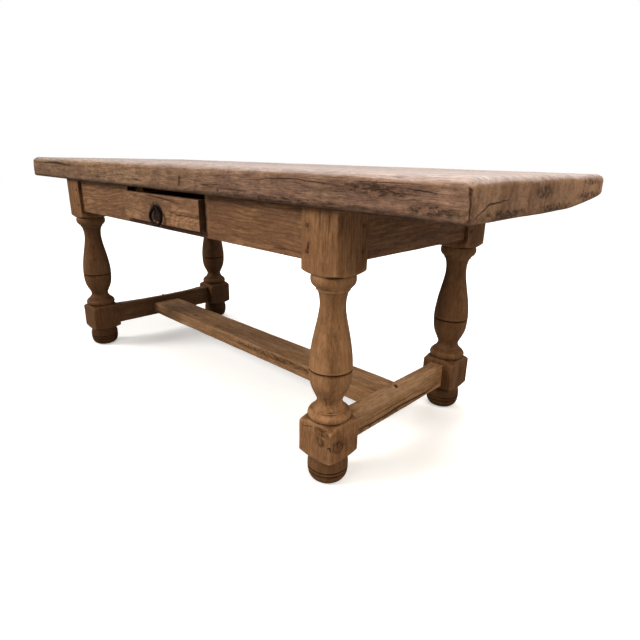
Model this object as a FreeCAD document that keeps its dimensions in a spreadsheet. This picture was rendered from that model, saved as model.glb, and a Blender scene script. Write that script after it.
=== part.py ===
import FreeCAD, Part
import math
import operator
import os
import Sketcher
from FreeCAD import Placement, Rotation, Vector

# A farmhouse dining table of old oak: a thick top of three planks on four turned legs,
# aprons tenoned and pegged into the legs, a low H of stretchers, and one drawer with a
# drop ring in the front apron. Length runs along X, the drawer faces -Y, the floor is Z = 0
# and the origin lies on the floor under the middle of the top. Sizes are in millimetres.

# The driving sizes, piece by piece. Each becomes a named cell of the sheet.
driving_sizes = {
    # top
    "table_height": 780.0,
    "top_length": 2072.0,
    "top_width": 745.0,
    "top_thickness": 78.0,
    "middle_plank_width": 248.0,
    "top_upper_round": 20.0,
    "top_corner_extra": 4.0,
    "top_lower_round": 10.0,
    "tongue_thickness": 12.0,
    "tongue_width": 40.0,
    "tongue_stop": 70.0,
    # legs
    "top_overhang_long": 303.0,
    "top_overhang_wide": 23.5,
    "block_width": 110.0,
    "block_arris": 3.0,
    "foot_height": 82.0,
    "lower_block_height": 87.5,
    "block_below_apron": 21.0,
    "foot_base_radius": 33.0,
    "foot_ball_radius": 54.3,
    "foot_neck_radius": 46.0,
    "base_ring_radius": 56.5,
    "lower_neck_radius": 33.0,
    "bulb_radius": 54.6,
    "upper_neck_radius": 32.4,
    "collar_radius": 54.0,
    "quirk_width": 2.5,
    "groove_depth": 2.5,
    "groove_width": 3.5,
    # aprons
    "apron_height": 122.0,
    "apron_thickness": 30.0,
    "apron_setback": 12.0,
    "apron_arris": 1.5,
    "tenon_thickness": 12.0,
    "tenon_length": 45.0,
    "tenon_lower_shoulder": 12.0,
    "tenon_upper_shoulder": 25.0,
    "apron_peg_radius": 5.0,
    "apron_peg_length": 48.0,
    "apron_peg_inset": 20.0,
    "apron_peg_low": 24.0,
    "apron_peg_drop": 40.0,
    "peg_proud": 0.8,
    # stretchers
    "end_stretcher_thickness": 42.0,
    "end_stretcher_drop": 5.5,
    "end_tenon_thickness": 16.0,
    "end_tenon_height": 52.0,
    "end_tenon_length": 42.0,
    "wear_stop": 39.0,
    "wear_depth": 9.0,
    "wear_runout": 0.25,
    "lower_bevel": 7.0,
    "long_stretcher_width": 122.0,
    "long_stretcher_thickness": 48.0,
    "long_stretcher_rise": 12.0,
    "long_stretcher_arris": 4.0,
    "long_tenon_width": 80.0,
    "long_tenon_thickness": 24.0,
    "long_tenon_length": 32.0,
    "stretcher_peg_radius": 6.0,
    "stretcher_peg_length": 62.0,
    # drawer opening, runners and kickers
    "opening_width": 460.0,
    "opening_sill": 17.0,
    "runner_ledge": 20.0,
    "runner_guide_width": 18.0,
    "runner_guide_height": 42.0,
    "runner_tenon": 10.0,
    "runner_tenon_width": 12.0,
    "runner_tenon_height": 12.0,
    "kicker_width": 20.0,
    "kicker_end_gap": 24.0,
    "stop_length": 30.0,
    "stop_height": 18.0,
    # drawer
    "drawer_side_gap": 5.5,
    "drawer_top_gap": 16.7,
    "drawer_depth": 470.0,
    "drawer_pulled_out": 18.0,
    "drawer_front_thickness": 24.0,
    "drawer_front_arris": 1.5,
    "drawer_side_thickness": 14.0,
    "drawer_side_drop": 6.0,
    "drawer_back_thickness": 14.0,
    "drawer_back_drop": 6.0,
    "drawer_back_setback": 16.0,
    "back_housing": 5.0,
    "bottom_thickness": 6.0,
    "bottom_height": 12.0,
    "bottom_housing": 6.0,
    "dovetail_lap": 7.0,
    "dovetail_width": 19.0,
    "dovetail_flare": 2.8,
    # drop ring pull
    "pull_rise": 50.7,
    "ring_rod_radius": 4.5,
    "ring_half_width": 33.0,
    "ring_drop": 53.5,
    "ring_side_radius": 17.0,
    "ring_crown_radius": 8.0,
    "ring_crown_flat": 4.0,
    "eye_thickness": 6.0,
    "eye_wall": 2.7,
    "eye_shank_radius": 3.5,
    "plate_radius": 27.0,
    "plate_rim": 0.8,
    "plate_dome": 3.6,
    "plate_drop": 18.0,
    "washer_radius": 9.0,
    "washer_thickness": 1.5,
    "nut_width": 12.0,
    "nut_thickness": 5.0,
    # wooden buttons and screws under the top, nails under the drawer
    "button_length": 48.0,
    "button_width": 30.0,
    "button_thickness": 20.0,
    "button_tongue": 9.0,
    "button_tongue_thickness": 8.0,
    "button_end_gap": 83.0,
    "screw_radius": 2.2,
    "screw_head_radius": 4.6,
    "screw_grip": 22.0,
    "nail_radius": 1.2,
    "nail_length": 26.0,
    "nail_spacing": 160.0,
    # clearances
    "joint_end_gap": 1.0,
    "peg_clearance": 0.1,
    "slide_clearance": 0.3,
    "guide_clearance": 1.5,
    "kicker_clearance": 2.0,
    "panel_clearance": 0.4,
    "ring_clearance": 0.1,
    "cut_overrun": 5.0,
}

# what isn't a length
dovetail_count = 3
crown_slope_degrees = 40.0
kicker_screw_share = 0.8
button_inner_share = 0.29

doc = FreeCAD.newDocument("farmhouse_table")
sheet = doc.addObject("Spreadsheet::Sheet", "Sizes")


class Size:
    """A length that carries both its value and the sheet formula it comes from."""

    def __init__(self, value, formula):
        self.value = float(value)
        self.formula = formula

    def __add__(self, other):
        return combine(self, "+", other)

    def __radd__(self, other):
        return combine(other, "+", self)

    def __sub__(self, other):
        return combine(self, "-", other)

    def __rsub__(self, other):
        return combine(other, "-", self)

    def __mul__(self, other):
        return combine(self, "*", other)

    def __rmul__(self, other):
        return combine(other, "*", self)

    def __truediv__(self, other):
        return combine(self, "/", other)

    def __neg__(self):
        return combine(self, "*", -1)


signs = {"+": operator.add, "-": operator.sub, "*": operator.mul, "/": operator.truediv}


def as_size(number):
    return number if isinstance(number, Size) else Size(number, repr(number))


def combine(left, sign, right):
    left, right = as_size(left), as_size(right)
    value = signs[sign](left.value, right.value)
    return Size(value, f"({left.formula} {sign} {right.formula})")


def root(size):
    return Size(math.sqrt(size.value), f"sqrt({size.formula})")


def mix(first, second, share):
    return first + (second - first) * share


def span(one, other):
    """Two places in rising order."""
    one, other = as_size(one), as_size(other)
    return (one, other) if one.value <= other.value else (other, one)


class Table:
    pass


# g holds every driving size under its own name
g = Table()
for row, (name, value) in enumerate(driving_sizes.items(), start=1):
    sheet.set(f"A{row}", name)
    sheet.set(f"B{row}", str(value))
    sheet.setAlias(f"B{row}", name)
    setattr(g, name, Size(value, f"Sizes.{name}"))
doc.recompute()

sub_parts = []


def bind(thing, path, size):
    thing.setExpression(path, as_size(size).formula)


def place(thing, x, y, z, turn=None):
    """Sets a piece at a point, with an optional turn, and binds the point to the sheet."""
    rotation = turn if turn else Rotation()
    x, y, z = as_size(x), as_size(y), as_size(z)
    thing.Placement = Placement(Vector(x.value, y.value, z.value), rotation)
    bind(thing, "Placement.Base.x", x)
    bind(thing, "Placement.Base.y", y)
    bind(thing, "Placement.Base.z", z)


def quarter_turns(count):
    return Rotation(Vector(0, 0, 1), 90 * count)


def new_body(name):
    body = doc.addObject("PartDesign::Body", name)
    body.Label = name
    sub_parts.append(body)
    return body


def finish_group(name, members):
    group = doc.addObject("Part::Compound", name)
    group.Label = name
    group.Links = members
    sub_parts.append(group)
    return group


# Sketches: every corner is dimensioned from the sketch's origin, and an arc also passes
# through one dimensioned point.
plane_roles = {"XY": "XY_Plane", "XZ": "XZ_Plane", "YZ": "YZ_Plane"}


def new_sketch(body, plane, offset=0):
    """A sketch on one of the body's own planes, moved along the plane's axis."""
    sketch = body.newObject("Sketcher::SketchObject", "Outline")
    role = plane_roles[plane]
    support = [item for item in body.Origin.OriginFeatures if item.Role == role][0]
    sketch.AttachmentSupport = [(support, "")]
    sketch.MapMode = "FlatFace"
    # the XZ plane faces -Y
    offset = -as_size(offset) if plane == "XZ" else as_size(offset)
    sketch.AttachmentOffset = Placement(Vector(0, 0, offset.value), Rotation())
    bind(sketch, "AttachmentOffset.Base.z", offset)
    return sketch


def dimension(sketch, geometry, corner, kind, size):
    """Holds one coordinate of a point at a signed size from the origin."""
    size = as_size(size)
    axis = -2 if kind == "DistanceX" else -1
    if size.formula in ("0", "0.0"):
        sketch.addConstraint(Sketcher.Constraint("PointOnObject", geometry, corner, axis))
        return
    if size.value < 0:
        ends = (geometry, corner, -1, 1)
        size = -size
    else:
        ends = (-1, 1, geometry, corner)
    index = sketch.addConstraint(Sketcher.Constraint(kind, *ends, size.value))
    sketch.setExpression(f"Constraints[{index}]", size.formula)


def fix_point(sketch, geometry, corner, x, y):
    dimension(sketch, geometry, corner, "DistanceX", x)
    dimension(sketch, geometry, corner, "DistanceY", y)


def draw(sketch, outline):
    """Draws a closed outline. A step is (x, y), reached by a line, or
    (x, y, through_x, through_y), reached by an arc through the second point."""
    steps = [tuple(as_size(part) for part in step) for step in outline]
    ends = [Vector(step[0].value, step[1].value, 0) for step in steps]
    edges = []
    for index, step in enumerate(steps):
        start, end = ends[index - 1], ends[index]
        if len(step) == 4:
            through = Vector(step[2].value, step[3].value, 0)
            # a sketch holds its arcs counterclockwise, so a clockwise one is drawn backwards
            backwards = (through - start).cross(end - through).z < 0
            first, last = (end, start) if backwards else (start, end)
            edge = sketch.addGeometry(Part.Arc(first, through, last), False)
            point = sketch.addGeometry(Part.Point(through), True)
            fix_point(sketch, point, 1, step[2], step[3])
            sketch.addConstraint(Sketcher.Constraint("PointOnObject", point, 1, edge))
            edges.append((edge, 2, 1) if backwards else (edge, 1, 2))
        else:
            edge = sketch.addGeometry(Part.LineSegment(start, end), False)
            edges.append((edge, 1, 2))
    for index, step in enumerate(steps):
        edge, _, last = edges[index]
        following, first, _ = edges[(index + 1) % len(edges)]
        sketch.addConstraint(Sketcher.Constraint("Coincident", edge, last, following, first))
        fix_point(sketch, edge, last, step[0], step[1])


def draw_circle(sketch, x, y, radius):
    x, y, radius = as_size(x), as_size(y), as_size(radius)
    circle = Part.Circle(Vector(x.value, y.value, 0), Vector(0, 0, 1), radius.value)
    edge = sketch.addGeometry(circle, False)
    fix_point(sketch, edge, 3, x, y)
    index = sketch.addConstraint(Sketcher.Constraint("Radius", edge, radius.value))
    sketch.setExpression(f"Constraints[{index}]", radius.formula)


def rectangle(x_span, y_span):
    (x_low, x_high), (y_low, y_high) = x_span, y_span
    return [(x_low, y_low), (x_high, y_low), (x_high, y_high), (x_low, y_high)]


def volume_of(feature):
    doc.recompute()
    return feature.Shape.Volume


def extrude(body, kind, plane, reach, outlines=(), circles=()):
    """Pads or pockets the outlines between two places along the plane's axis."""
    before = body.Shape.Volume if body.Tip else 0
    low, high = reach
    sketch = new_sketch(body, plane, high if plane == "XZ" else low)
    for outline in outlines:
        draw(sketch, outline)
    for circle in circles:
        draw_circle(sketch, *circle)
    feature = body.newObject(f"PartDesign::{kind}", kind)
    feature.Profile = sketch
    feature.Length = (high - low).value
    bind(feature, "Length", high - low)
    feature.Reversed = kind == "Pocket"
    after = volume_of(feature)
    grown = after > before if kind == "Pad" else after < before
    if not grown:
        raise ValueError(f"{body.Label}: the {kind} changed nothing")
    return feature


def pad(body, plane, reach, outline):
    return extrude(body, "Pad", plane, reach, outlines=[outline])


def pocket(body, plane, reach, outline):
    return extrude(body, "Pocket", plane, reach, outlines=[outline])


def drill(body, plane, reach, centres, radius):
    circles = [(x, y, radius) for x, y in centres]
    return extrude(body, "Pocket", plane, reach, circles=circles)


def soften(body, kind, size, keep):
    """A fillet or chamfer on the edges of the body that a test picks out."""
    base = body.Tip
    names = [f"Edge{n}" for n, edge in enumerate(base.Shape.Edges, start=1) if keep(edge)]
    if not names:
        raise ValueError(f"{body.Label}: no edges to soften")
    feature = body.newObject(f"PartDesign::{kind}", kind)
    feature.Base = (base, names)
    sized = "Radius" if kind == "Fillet" else "Size"
    setattr(feature, sized, size.value)
    bind(feature, sized, size)
    doc.recompute()
    return feature


def near(one, other):
    return abs(one - other) < 1e-4


def runs_along(edge, axis):
    """True for a straight edge along x, y or z."""
    if not isinstance(edge.Curve, Part.Line):
        return False
    direction = edge.Curve.Direction
    return near(abs(getattr(direction, axis)), 1)


def lies_at(edge, axis, value):
    return all(near(getattr(vertex.Point, axis), value) for vertex in edge.Vertexes)


# Heights and faces that several pieces share
top_underside = g.table_height - g.top_thickness
half_length = g.top_length / 2
half_width = g.top_width / 2
half_block = g.block_width / 2
leg_x = half_length - g.top_overhang_long - half_block
leg_y = half_width - g.top_overhang_wide - half_block
long_half = leg_x - half_block
short_half = leg_y - half_block
lower_block_top = g.foot_height + g.lower_block_height
apron_bottom = top_underside - g.apron_height
upper_block_bottom = apron_bottom - g.block_below_apron
apron_face_y = leg_y + half_block - g.apron_setback
apron_face_x = leg_x + half_block - g.apron_setback
apron_inner_y = apron_face_y - g.apron_thickness
seam_y = g.middle_plank_width / 2
sill_height = apron_bottom + g.opening_sill
half_drawer = g.opening_width / 2 - g.drawer_side_gap
drawer_bottom = sill_height + g.slide_clearance
drawer_height = top_underside - drawer_bottom - g.drawer_top_gap
drawer_side_height = drawer_height - g.drawer_side_drop
drawer_face_y = -(apron_face_y + g.drawer_pulled_out)
side_inner = half_drawer - g.drawer_side_thickness
kicker_thickness = g.drawer_top_gap + g.drawer_side_drop - g.kicker_clearance
runner_x = half_drawer + g.guide_clearance
guide_outer_x = runner_x + g.runner_guide_width
button_outer_x = long_half - g.button_end_gap
button_inner_x = mix(guide_outer_x, button_outer_x, button_inner_share)


# The top: three planks, edge joined with loose tongues, worn round at every outer arris
tongue_middle = g.top_thickness / 2
tongue_span = span(tongue_middle - g.tongue_thickness / 2, tongue_middle + g.tongue_thickness / 2)
tongue_end = half_length - g.tongue_stop
button_places = [
    (side * place_x, end)
    for side in (-1, 1)
    for place_x in (button_inner_x, button_outer_x)
    for end in (-1, 1)
]
button_screw_y = apron_inner_y - g.button_length / 2
kicker_x = side_inner + g.drawer_side_thickness / 2
kicker_half_length = apron_inner_y - g.kicker_end_gap
kicker_screw_y = kicker_half_length * kicker_screw_share
screw_hole = g.screw_radius + g.peg_clearance


def plank_screw_places(y_span):
    """The screws that enter a plank from below, by where they stand."""
    buttons = [(x, end * button_screw_y) for x, end in button_places]
    kickers = [(side * kicker_x, end * kicker_screw_y) for side in (-1, 1) for end in (-1, 1)]
    low, high = y_span
    return [(x, y) for x, y in buttons + kickers if low.value < y.value < high.value]


def outer_plank(name, end):
    """A plank at the front (end -1) or the rear (end 1)."""
    body = new_body(name)
    inner, outer = end * seam_y, end * half_width
    r = g.top_upper_round + g.top_corner_extra
    bend = r * (1 - math.sqrt(0.5))
    outline = [
        (-half_length, inner),
        (-half_length, outer - end * r),
        (-half_length + r, outer, -half_length + bend, outer - end * bend),
        (half_length - r, outer),
        (half_length, outer - end * r, half_length - bend, outer - end * bend),
        (half_length, inner),
    ]
    pad(body, "XY", (as_size(0), g.top_thickness), outline)
    for height, size in ((g.top_thickness, g.top_upper_round), (as_size(0), g.top_lower_round)):
        soften(
            body,
            "Fillet",
            size,
            lambda edge: lies_at(edge, "z", height.value) and not lies_at(edge, "y", inner.value),
        )
    groove_depth = g.tongue_width / 2 + g.joint_end_gap
    groove = rectangle(span(inner, inner + end * groove_depth), tongue_span)
    pocket(body, "YZ", (-tongue_end, tongue_end), groove)
    holes = plank_screw_places(span(inner, outer))
    drill(body, "XY", (as_size(0), g.screw_grip), holes, screw_hole)
    place(body, 0, 0, top_underside)


def middle_plank(name):
    body = new_body(name)
    pad(
        body,
        "XY",
        (as_size(0), g.top_thickness),
        rectangle((-half_length, half_length), (-seam_y, seam_y)),
    )
    for height, size in ((g.top_thickness, g.top_upper_round), (as_size(0), g.top_lower_round)):
        soften(
            body,
            "Fillet",
            size,
            lambda edge: lies_at(edge, "z", height.value) and runs_along(edge, "y"),
        )
    groove_depth = g.tongue_width / 2 + g.joint_end_gap
    for end in (-1, 1):
        groove = rectangle(span(end * seam_y, end * (seam_y - groove_depth)), tongue_span)
        pocket(body, "YZ", (-tongue_end, tongue_end), groove)
    place(body, 0, 0, top_underside)


def top_tongue(name, end):
    body = new_body(name)
    section = rectangle(span(-g.tongue_width / 2, g.tongue_width / 2), tongue_span)
    reach = tongue_end - g.joint_end_gap
    pad(body, "YZ", (-reach, reach), section)
    place(body, 0, end * seam_y, top_underside)


outer_plank("top_plank_front", -1)
middle_plank("top_plank_middle")
outer_plank("top_plank_rear", 1)
top_tongue("top_tongue_front", -1)
top_tongue("top_tongue_rear", 1)


# The legs: one turning each, with two square blocks left on it. The outline is drawn as
# radius over height, from the foot to the collar below the upper block. A row of shares
# gives a corner, and for an arc a point on the way, between two radii and two heights.
ball_height_share = 0.49
ball_lower_share = (0.86, 0.52, 0.55, 0.14)
ball_groove_share = 0.91
ball_upper_share = (1, 1, 0.978, 0.8)
ball_neck_share = (0, 1, 0.74, 0.5)
base_ring_root_share = 0.955
base_ring_share = (0.972, 0.056, 1, 0.027)
shoulder_share = (0.55, 0.102, 0.81, 0.082)
quirk_height_share = 0.104
lower_hollow_share = (0, 0.147, 0.15, 0.125)
bulb_lower_shares = [
    (0.3, 0.197, 0.09, 0.172),
    (0.98, 0.344, 0.795, 0.264),
]
bulb_upper_shares = [
    (0.63, 0.577, 0.925, 0.464),
    (0.255, 0.677),
    (0, 0.795, 0.056, 0.736),
]
flare_share = (0.2, 0.864, 0.045, 0.829)
step_height_shares = (0.882, 0.884)
collar_share = (1, 0.94, 0.79, 0.91)


def between(shares, radii, heights):
    """One step of the outline from its shares of the way between two radii and two heights."""
    ends = (radii, heights) * 2
    return tuple(mix(*pair, share) for share, pair in zip(shares, ends))


def turned_outline():
    turned = (lower_block_top, upper_block_bottom)
    ball_height = g.foot_height * ball_height_share
    ball_radii = (g.foot_base_radius, g.foot_ball_radius)
    to_groove = between(ball_lower_share, ball_radii, (0, ball_height))
    groove_radius, groove_height = to_groove[:2]
    foot = [
        (0, 0),
        (g.foot_base_radius, 0),
        to_groove,
        (groove_radius - g.groove_depth, groove_height + g.groove_width / 2),
        (mix(*ball_radii, ball_groove_share), groove_height + g.groove_width),
        between(ball_upper_share, ball_radii, (0, ball_height)),
        between(
            ball_neck_share,
            (g.foot_neck_radius, g.foot_ball_radius),
            (ball_height, g.foot_height),
        ),
        (g.foot_neck_radius, lower_block_top),
    ]
    # a ring on the block, its shoulder, a quirk and the hollow down to the lower neck
    base_radii = (g.lower_neck_radius, g.base_ring_radius)
    shoulder = between(shoulder_share, base_radii, turned)
    base = [
        (g.base_ring_radius * base_ring_root_share, lower_block_top),
        between(base_ring_share, (0, g.base_ring_radius), turned),
        shoulder,
        (shoulder[0] - g.quirk_width, mix(*turned, quirk_height_share)),
        between(lower_hollow_share, base_radii, turned),
    ]
    # the long bulb, with one incised line under its widest place
    lower_radii = (g.lower_neck_radius, g.bulb_radius)
    upper_radii = (g.upper_neck_radius, g.bulb_radius)
    bulb = [between(share, lower_radii, turned) for share in bulb_lower_shares]
    line_height = bulb[-1][1]
    bulb += [
        (g.bulb_radius - g.groove_depth, line_height + g.groove_width / 2),
        (g.bulb_radius, line_height + g.groove_width),
    ]
    bulb += [between(share, upper_radii, turned) for share in bulb_upper_shares]
    # the flare, two fine steps, and the collar under the upper block
    collar_radii = (g.upper_neck_radius, g.collar_radius)
    flare = between(flare_share, collar_radii, turned)
    step_low, step_high = (mix(*turned, share) for share in step_height_shares)
    collar = [
        flare,
        (flare[0] + g.quirk_width, flare[1]),
        (flare[0] + g.quirk_width, step_low),
        (flare[0] + g.quirk_width * 2, step_high),
        between(collar_share, collar_radii, turned),
        (g.collar_radius, upper_block_bottom),
        (0, upper_block_bottom),
    ]
    return foot + base + bulb + collar


def square_block():
    return rectangle((-half_block, half_block), (-half_block, half_block))


def apron_tenon_depth():
    """The tenon's near and far cheek, counted inward from the block's outer face."""
    middle = g.apron_setback + g.apron_thickness / 2
    return middle - g.tenon_thickness / 2, middle + g.tenon_thickness / 2


peg_hole = g.apron_peg_radius + g.peg_clearance
peg_heights = (apron_bottom + g.apron_peg_low, top_underside - g.apron_peg_drop)
peg_place = half_block - g.apron_peg_inset
peg_depth = half_block - g.apron_peg_length - g.joint_end_gap
mortise_floor = half_block - g.tenon_length - g.joint_end_gap
apron_tenon_span = (
    apron_bottom + g.tenon_lower_shoulder,
    top_underside - g.tenon_upper_shoulder,
)
end_stretcher_height = g.lower_block_height - g.end_stretcher_drop


def leg(name, hand, side_x, side_y):
    """A leg. Seen from the front, hand is 1 where the long apron enters from the left.
    The rear legs are the front ones turned half round."""
    body = new_body(name)
    sketch = new_sketch(body, "XZ")
    draw(sketch, turned_outline())
    turning = body.newObject("PartDesign::Revolution", "Turning")
    turning.Profile = sketch
    turning.ReferenceAxis = (sketch, ["V_Axis"])
    turning.Angle = 360
    doc.recompute()
    pad(body, "XY", (g.foot_height, lower_block_top), square_block())
    pad(body, "XY", (upper_block_bottom, top_underside), square_block())
    soften(
        body,
        "Chamfer",
        g.block_arris,
        lambda edge: runs_along(edge, "z") and near(abs(edge.CenterOfMass.x), half_block.value),
    )
    near_cheek, far_cheek = apron_tenon_depth()
    # mortise of the long apron, in the face towards the table's middle
    across = span(-(half_block - near_cheek), -(half_block - far_cheek))
    into = span(-hand * half_block, -hand * mortise_floor)
    pocket(body, "YZ", into, rectangle(across, apron_tenon_span))
    # mortise of the short apron, in the face towards the other leg of this end
    across = span(hand * (half_block - near_cheek), hand * (half_block - far_cheek))
    into = span(half_block, mortise_floor)
    pocket(body, "XZ", into, rectangle(across, apron_tenon_span))
    # mortise of the end stretcher, in the lower block
    middle = g.foot_height + end_stretcher_height / 2
    across = span(-g.end_tenon_thickness / 2, g.end_tenon_thickness / 2)
    upright = span(middle - g.end_tenon_height / 2, middle + g.end_tenon_height / 2)
    floor = half_block - g.end_tenon_length - g.joint_end_gap
    pocket(body, "XZ", span(half_block, floor), rectangle(across, upright))
    # peg holes from the outer faces, through both tenons
    long_pegs = [(-hand * peg_place, height) for height in peg_heights]
    drill(body, "XZ", span(-half_block, -peg_depth), long_pegs, peg_hole)
    short_pegs = [(peg_place, height) for height in peg_heights]
    drill(body, "YZ", span(hand * half_block, hand * peg_depth), short_pegs, peg_hole)
    turn = quarter_turns(0 if side_y < 0 else 2)
    place(body, side_x * leg_x, side_y * leg_y, 0, turn)


leg("leg_front_left", -1, -1, -1)
leg("leg_front_right", 1, 1, -1)
leg("leg_rear_left", 1, -1, 1)
leg("leg_rear_right", -1, 1, 1)


# The aprons: outer face on the local XZ plane, thickness towards +Y, bottom at Z = 0
slot_top = g.apron_height - g.button_thickness / 2
slot_bottom = slot_top - g.button_tongue_thickness - g.joint_end_gap
runner_tenon_x = runner_x + g.runner_guide_width / 2 + g.guide_clearance
runner_tenon_z = g.opening_sill - g.runner_tenon_height


def apron(name, shoulder_half, x, y, turns, holds_runners=False, has_drawer=False):
    body = new_body(name)
    height, thick = g.apron_height, g.apron_thickness
    pad(body, "XZ", (as_size(0), thick), rectangle((-shoulder_half, shoulder_half), (0, height)))
    soften(
        body,
        "Chamfer",
        g.apron_arris,
        lambda edge: runs_along(edge, "x") and lies_at(edge, "z", 0),
    )
    near_cheek, far_cheek = apron_tenon_depth()
    tenon = rectangle(
        (near_cheek - g.apron_setback, far_cheek - g.apron_setback),
        (g.tenon_lower_shoulder, height - g.tenon_upper_shoulder),
    )
    for end in (-1, 1):
        tip = shoulder_half + g.tenon_length
        pad(body, "YZ", span(end * shoulder_half, end * tip), tenon)
    holes = [
        (end * (shoulder_half + g.apron_peg_inset), z)
        for end in (-1, 1)
        for z in (g.apron_peg_low, height - g.apron_peg_drop)
    ]
    drill(body, "XZ", (as_size(0), thick), holes, peg_hole)
    if has_drawer:
        half_opening = g.opening_width / 2
        notch = rectangle(
            (-half_opening, half_opening), (g.opening_sill, height + g.cut_overrun)
        )
        pocket(body, "XZ", (-g.cut_overrun, thick + g.cut_overrun), notch)
    if holds_runners:
        slot_floor = thick - g.button_tongue - g.joint_end_gap
        extrude(body, "Pocket", "XZ", (slot_floor, thick), button_slots())
        runner_floor = thick - g.runner_tenon - g.joint_end_gap
        extrude(body, "Pocket", "XZ", (runner_floor, thick), runner_mortises())
    place(body, x, y, apron_bottom, quarter_turns(turns))


def button_slots():
    half_slot = g.button_width / 2 + g.joint_end_gap
    return [
        rectangle((side * spot - half_slot, side * spot + half_slot), (slot_bottom, slot_top))
        for side in (-1, 1)
        for spot in (button_inner_x, button_outer_x)
    ]


def runner_mortises():
    half = g.runner_tenon_width / 2
    return [
        rectangle(
            (side * runner_tenon_x - half, side * runner_tenon_x + half),
            (runner_tenon_z, runner_tenon_z + g.runner_tenon_height),
        )
        for side in (-1, 1)
    ]


apron("apron_front", long_half, 0, -apron_face_y, 0, holds_runners=True, has_drawer=True)
apron("apron_rear", long_half, 0, apron_face_y, 2, holds_runners=True)
apron("apron_left", short_half, -apron_face_x, 0, -1)
apron("apron_right", short_half, apron_face_x, 0, 1)


def peg(x, y, z, radius, length, direction):
    """A round peg that starts at a point and runs along a direction."""
    pin = doc.addObject("Part::Cylinder", "Peg")
    bind(pin, "Radius", radius)
    bind(pin, "Height", length)
    place(pin, x, y, z, Rotation(Vector(0, 0, 1), Vector(*direction)))
    return pin


def apron_pegs():
    """Two pegs through each of the eight apron tenons, standing a little proud."""
    pegs = []
    for side in (-1, 1):
        for end in (-1, 1):
            for height in peg_heights:
                length = g.apron_peg_length + g.peg_proud
                face = half_block + g.peg_proud
                x, y = side * (leg_x - peg_place), end * (leg_y + face)
                pegs.append(peg(x, y, height, g.apron_peg_radius, length, (0, -end, 0)))
                x, y = side * (leg_x + face), end * (leg_y - peg_place)
                pegs.append(peg(x, y, height, g.apron_peg_radius, length, (-side, 0, 0)))
    finish_group("apron_pegs", pegs)


apron_pegs()


# The stretchers: one between the legs of each end, and a broad one between these two
stretcher_peg_hole = g.stretcher_peg_radius + g.peg_clearance
half_end = g.end_stretcher_thickness / 2
stretcher_top = g.foot_height + end_stretcher_height
long_middle = g.long_stretcher_rise + g.long_stretcher_thickness / 2
peg_floor = end_stretcher_height - g.stretcher_peg_length - g.joint_end_gap


def end_stretcher(name, side):
    """Local +X is the outer side. Its upper arris is worn hollow by feet between two stops."""
    body = new_body(name)
    height = end_stretcher_height
    pad(
        body,
        "YZ",
        (-half_end, half_end),
        rectangle((-short_half, short_half), (0, height)),
    )
    soften(
        body,
        "Chamfer",
        g.lower_bevel,
        lambda edge: runs_along(edge, "y")
        and lies_at(edge, "z", 0)
        and lies_at(edge, "x", half_end.value),
    )
    middle = height / 2
    across = (-g.end_tenon_thickness / 2, g.end_tenon_thickness / 2)
    tenon = rectangle(across, (middle - g.end_tenon_height / 2, middle + g.end_tenon_height / 2))
    for end in (-1, 1):
        tip = short_half + g.end_tenon_length
        pad(body, "XZ", span(end * short_half, end * tip), tenon)
    wear(body)
    mortise = rectangle(
        (-g.long_tenon_width / 2, g.long_tenon_width / 2),
        (long_middle - g.long_tenon_thickness / 2, long_middle + g.long_tenon_thickness / 2),
    )
    floor = -half_end + g.long_tenon_length + g.joint_end_gap
    pocket(body, "YZ", (-half_end, floor), mortise)
    drill(body, "XY", (peg_floor, height), [(0, 0)], stretcher_peg_hole)
    place(body, side * leg_x, 0, g.foot_height, quarter_turns(0 if side > 0 else 2))


def wear(body):
    """The worn hollow: on the top face an arc from stop to stop, which runs out down the
    outer face as far below as it is wide."""
    half = short_half - g.wear_stop
    depth = g.wear_depth * math.sqrt(2)
    height = end_stretcher_height
    before = body.Shape.Volume
    levels = []
    for level, inward in ((height, depth), (height - depth, g.wear_runout)):
        sketch = new_sketch(body, "XY", level)
        outline = [
            (half_end + g.cut_overrun, -half),
            (half_end + g.cut_overrun, half),
            (half_end, half),
            (half_end, -half, half_end - inward, 0),
        ]
        draw(sketch, outline)
        levels.append(sketch)
    loft = body.newObject("PartDesign::SubtractiveLoft", "Wear")
    loft.Profile = levels[0]
    loft.Sections = levels[1:]
    loft.Ruled = True
    if volume_of(loft) >= before:
        raise ValueError("the worn hollow cut nothing")


def long_stretcher(name):
    body = new_body(name)
    half = leg_x - half_end
    wide, thick = g.long_stretcher_width, g.long_stretcher_thickness
    pad(body, "YZ", (-half, half), rectangle((-wide / 2, wide / 2), (0, thick)))
    soften(body, "Chamfer", g.long_stretcher_arris, lambda edge: runs_along(edge, "x"))
    tenon = rectangle(
        (-g.long_tenon_width / 2, g.long_tenon_width / 2),
        ((thick - g.long_tenon_thickness) / 2, (thick + g.long_tenon_thickness) / 2),
    )
    for end in (-1, 1):
        tip = half + g.long_tenon_length
        pad(body, "YZ", span(end * half, end * tip), tenon)
    holes = [(end * leg_x, 0) for end in (-1, 1)]
    drill(body, "XY", (-g.cut_overrun, thick + g.cut_overrun), holes, stretcher_peg_hole)
    place(body, 0, 0, g.foot_height + g.long_stretcher_rise)


def stretcher_pegs():
    pegs = [
        peg(
            side * leg_x,
            0,
            stretcher_top - g.stretcher_peg_length,
            g.stretcher_peg_radius,
            g.stretcher_peg_length + g.peg_proud,
            (0, 0, 1),
        )
        for side in (-1, 1)
    ]
    finish_group("stretcher_pegs", pegs)


end_stretcher("end_stretcher_left", -1)
end_stretcher("end_stretcher_right", 1)
long_stretcher("long_stretcher")
stretcher_pegs()


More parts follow.
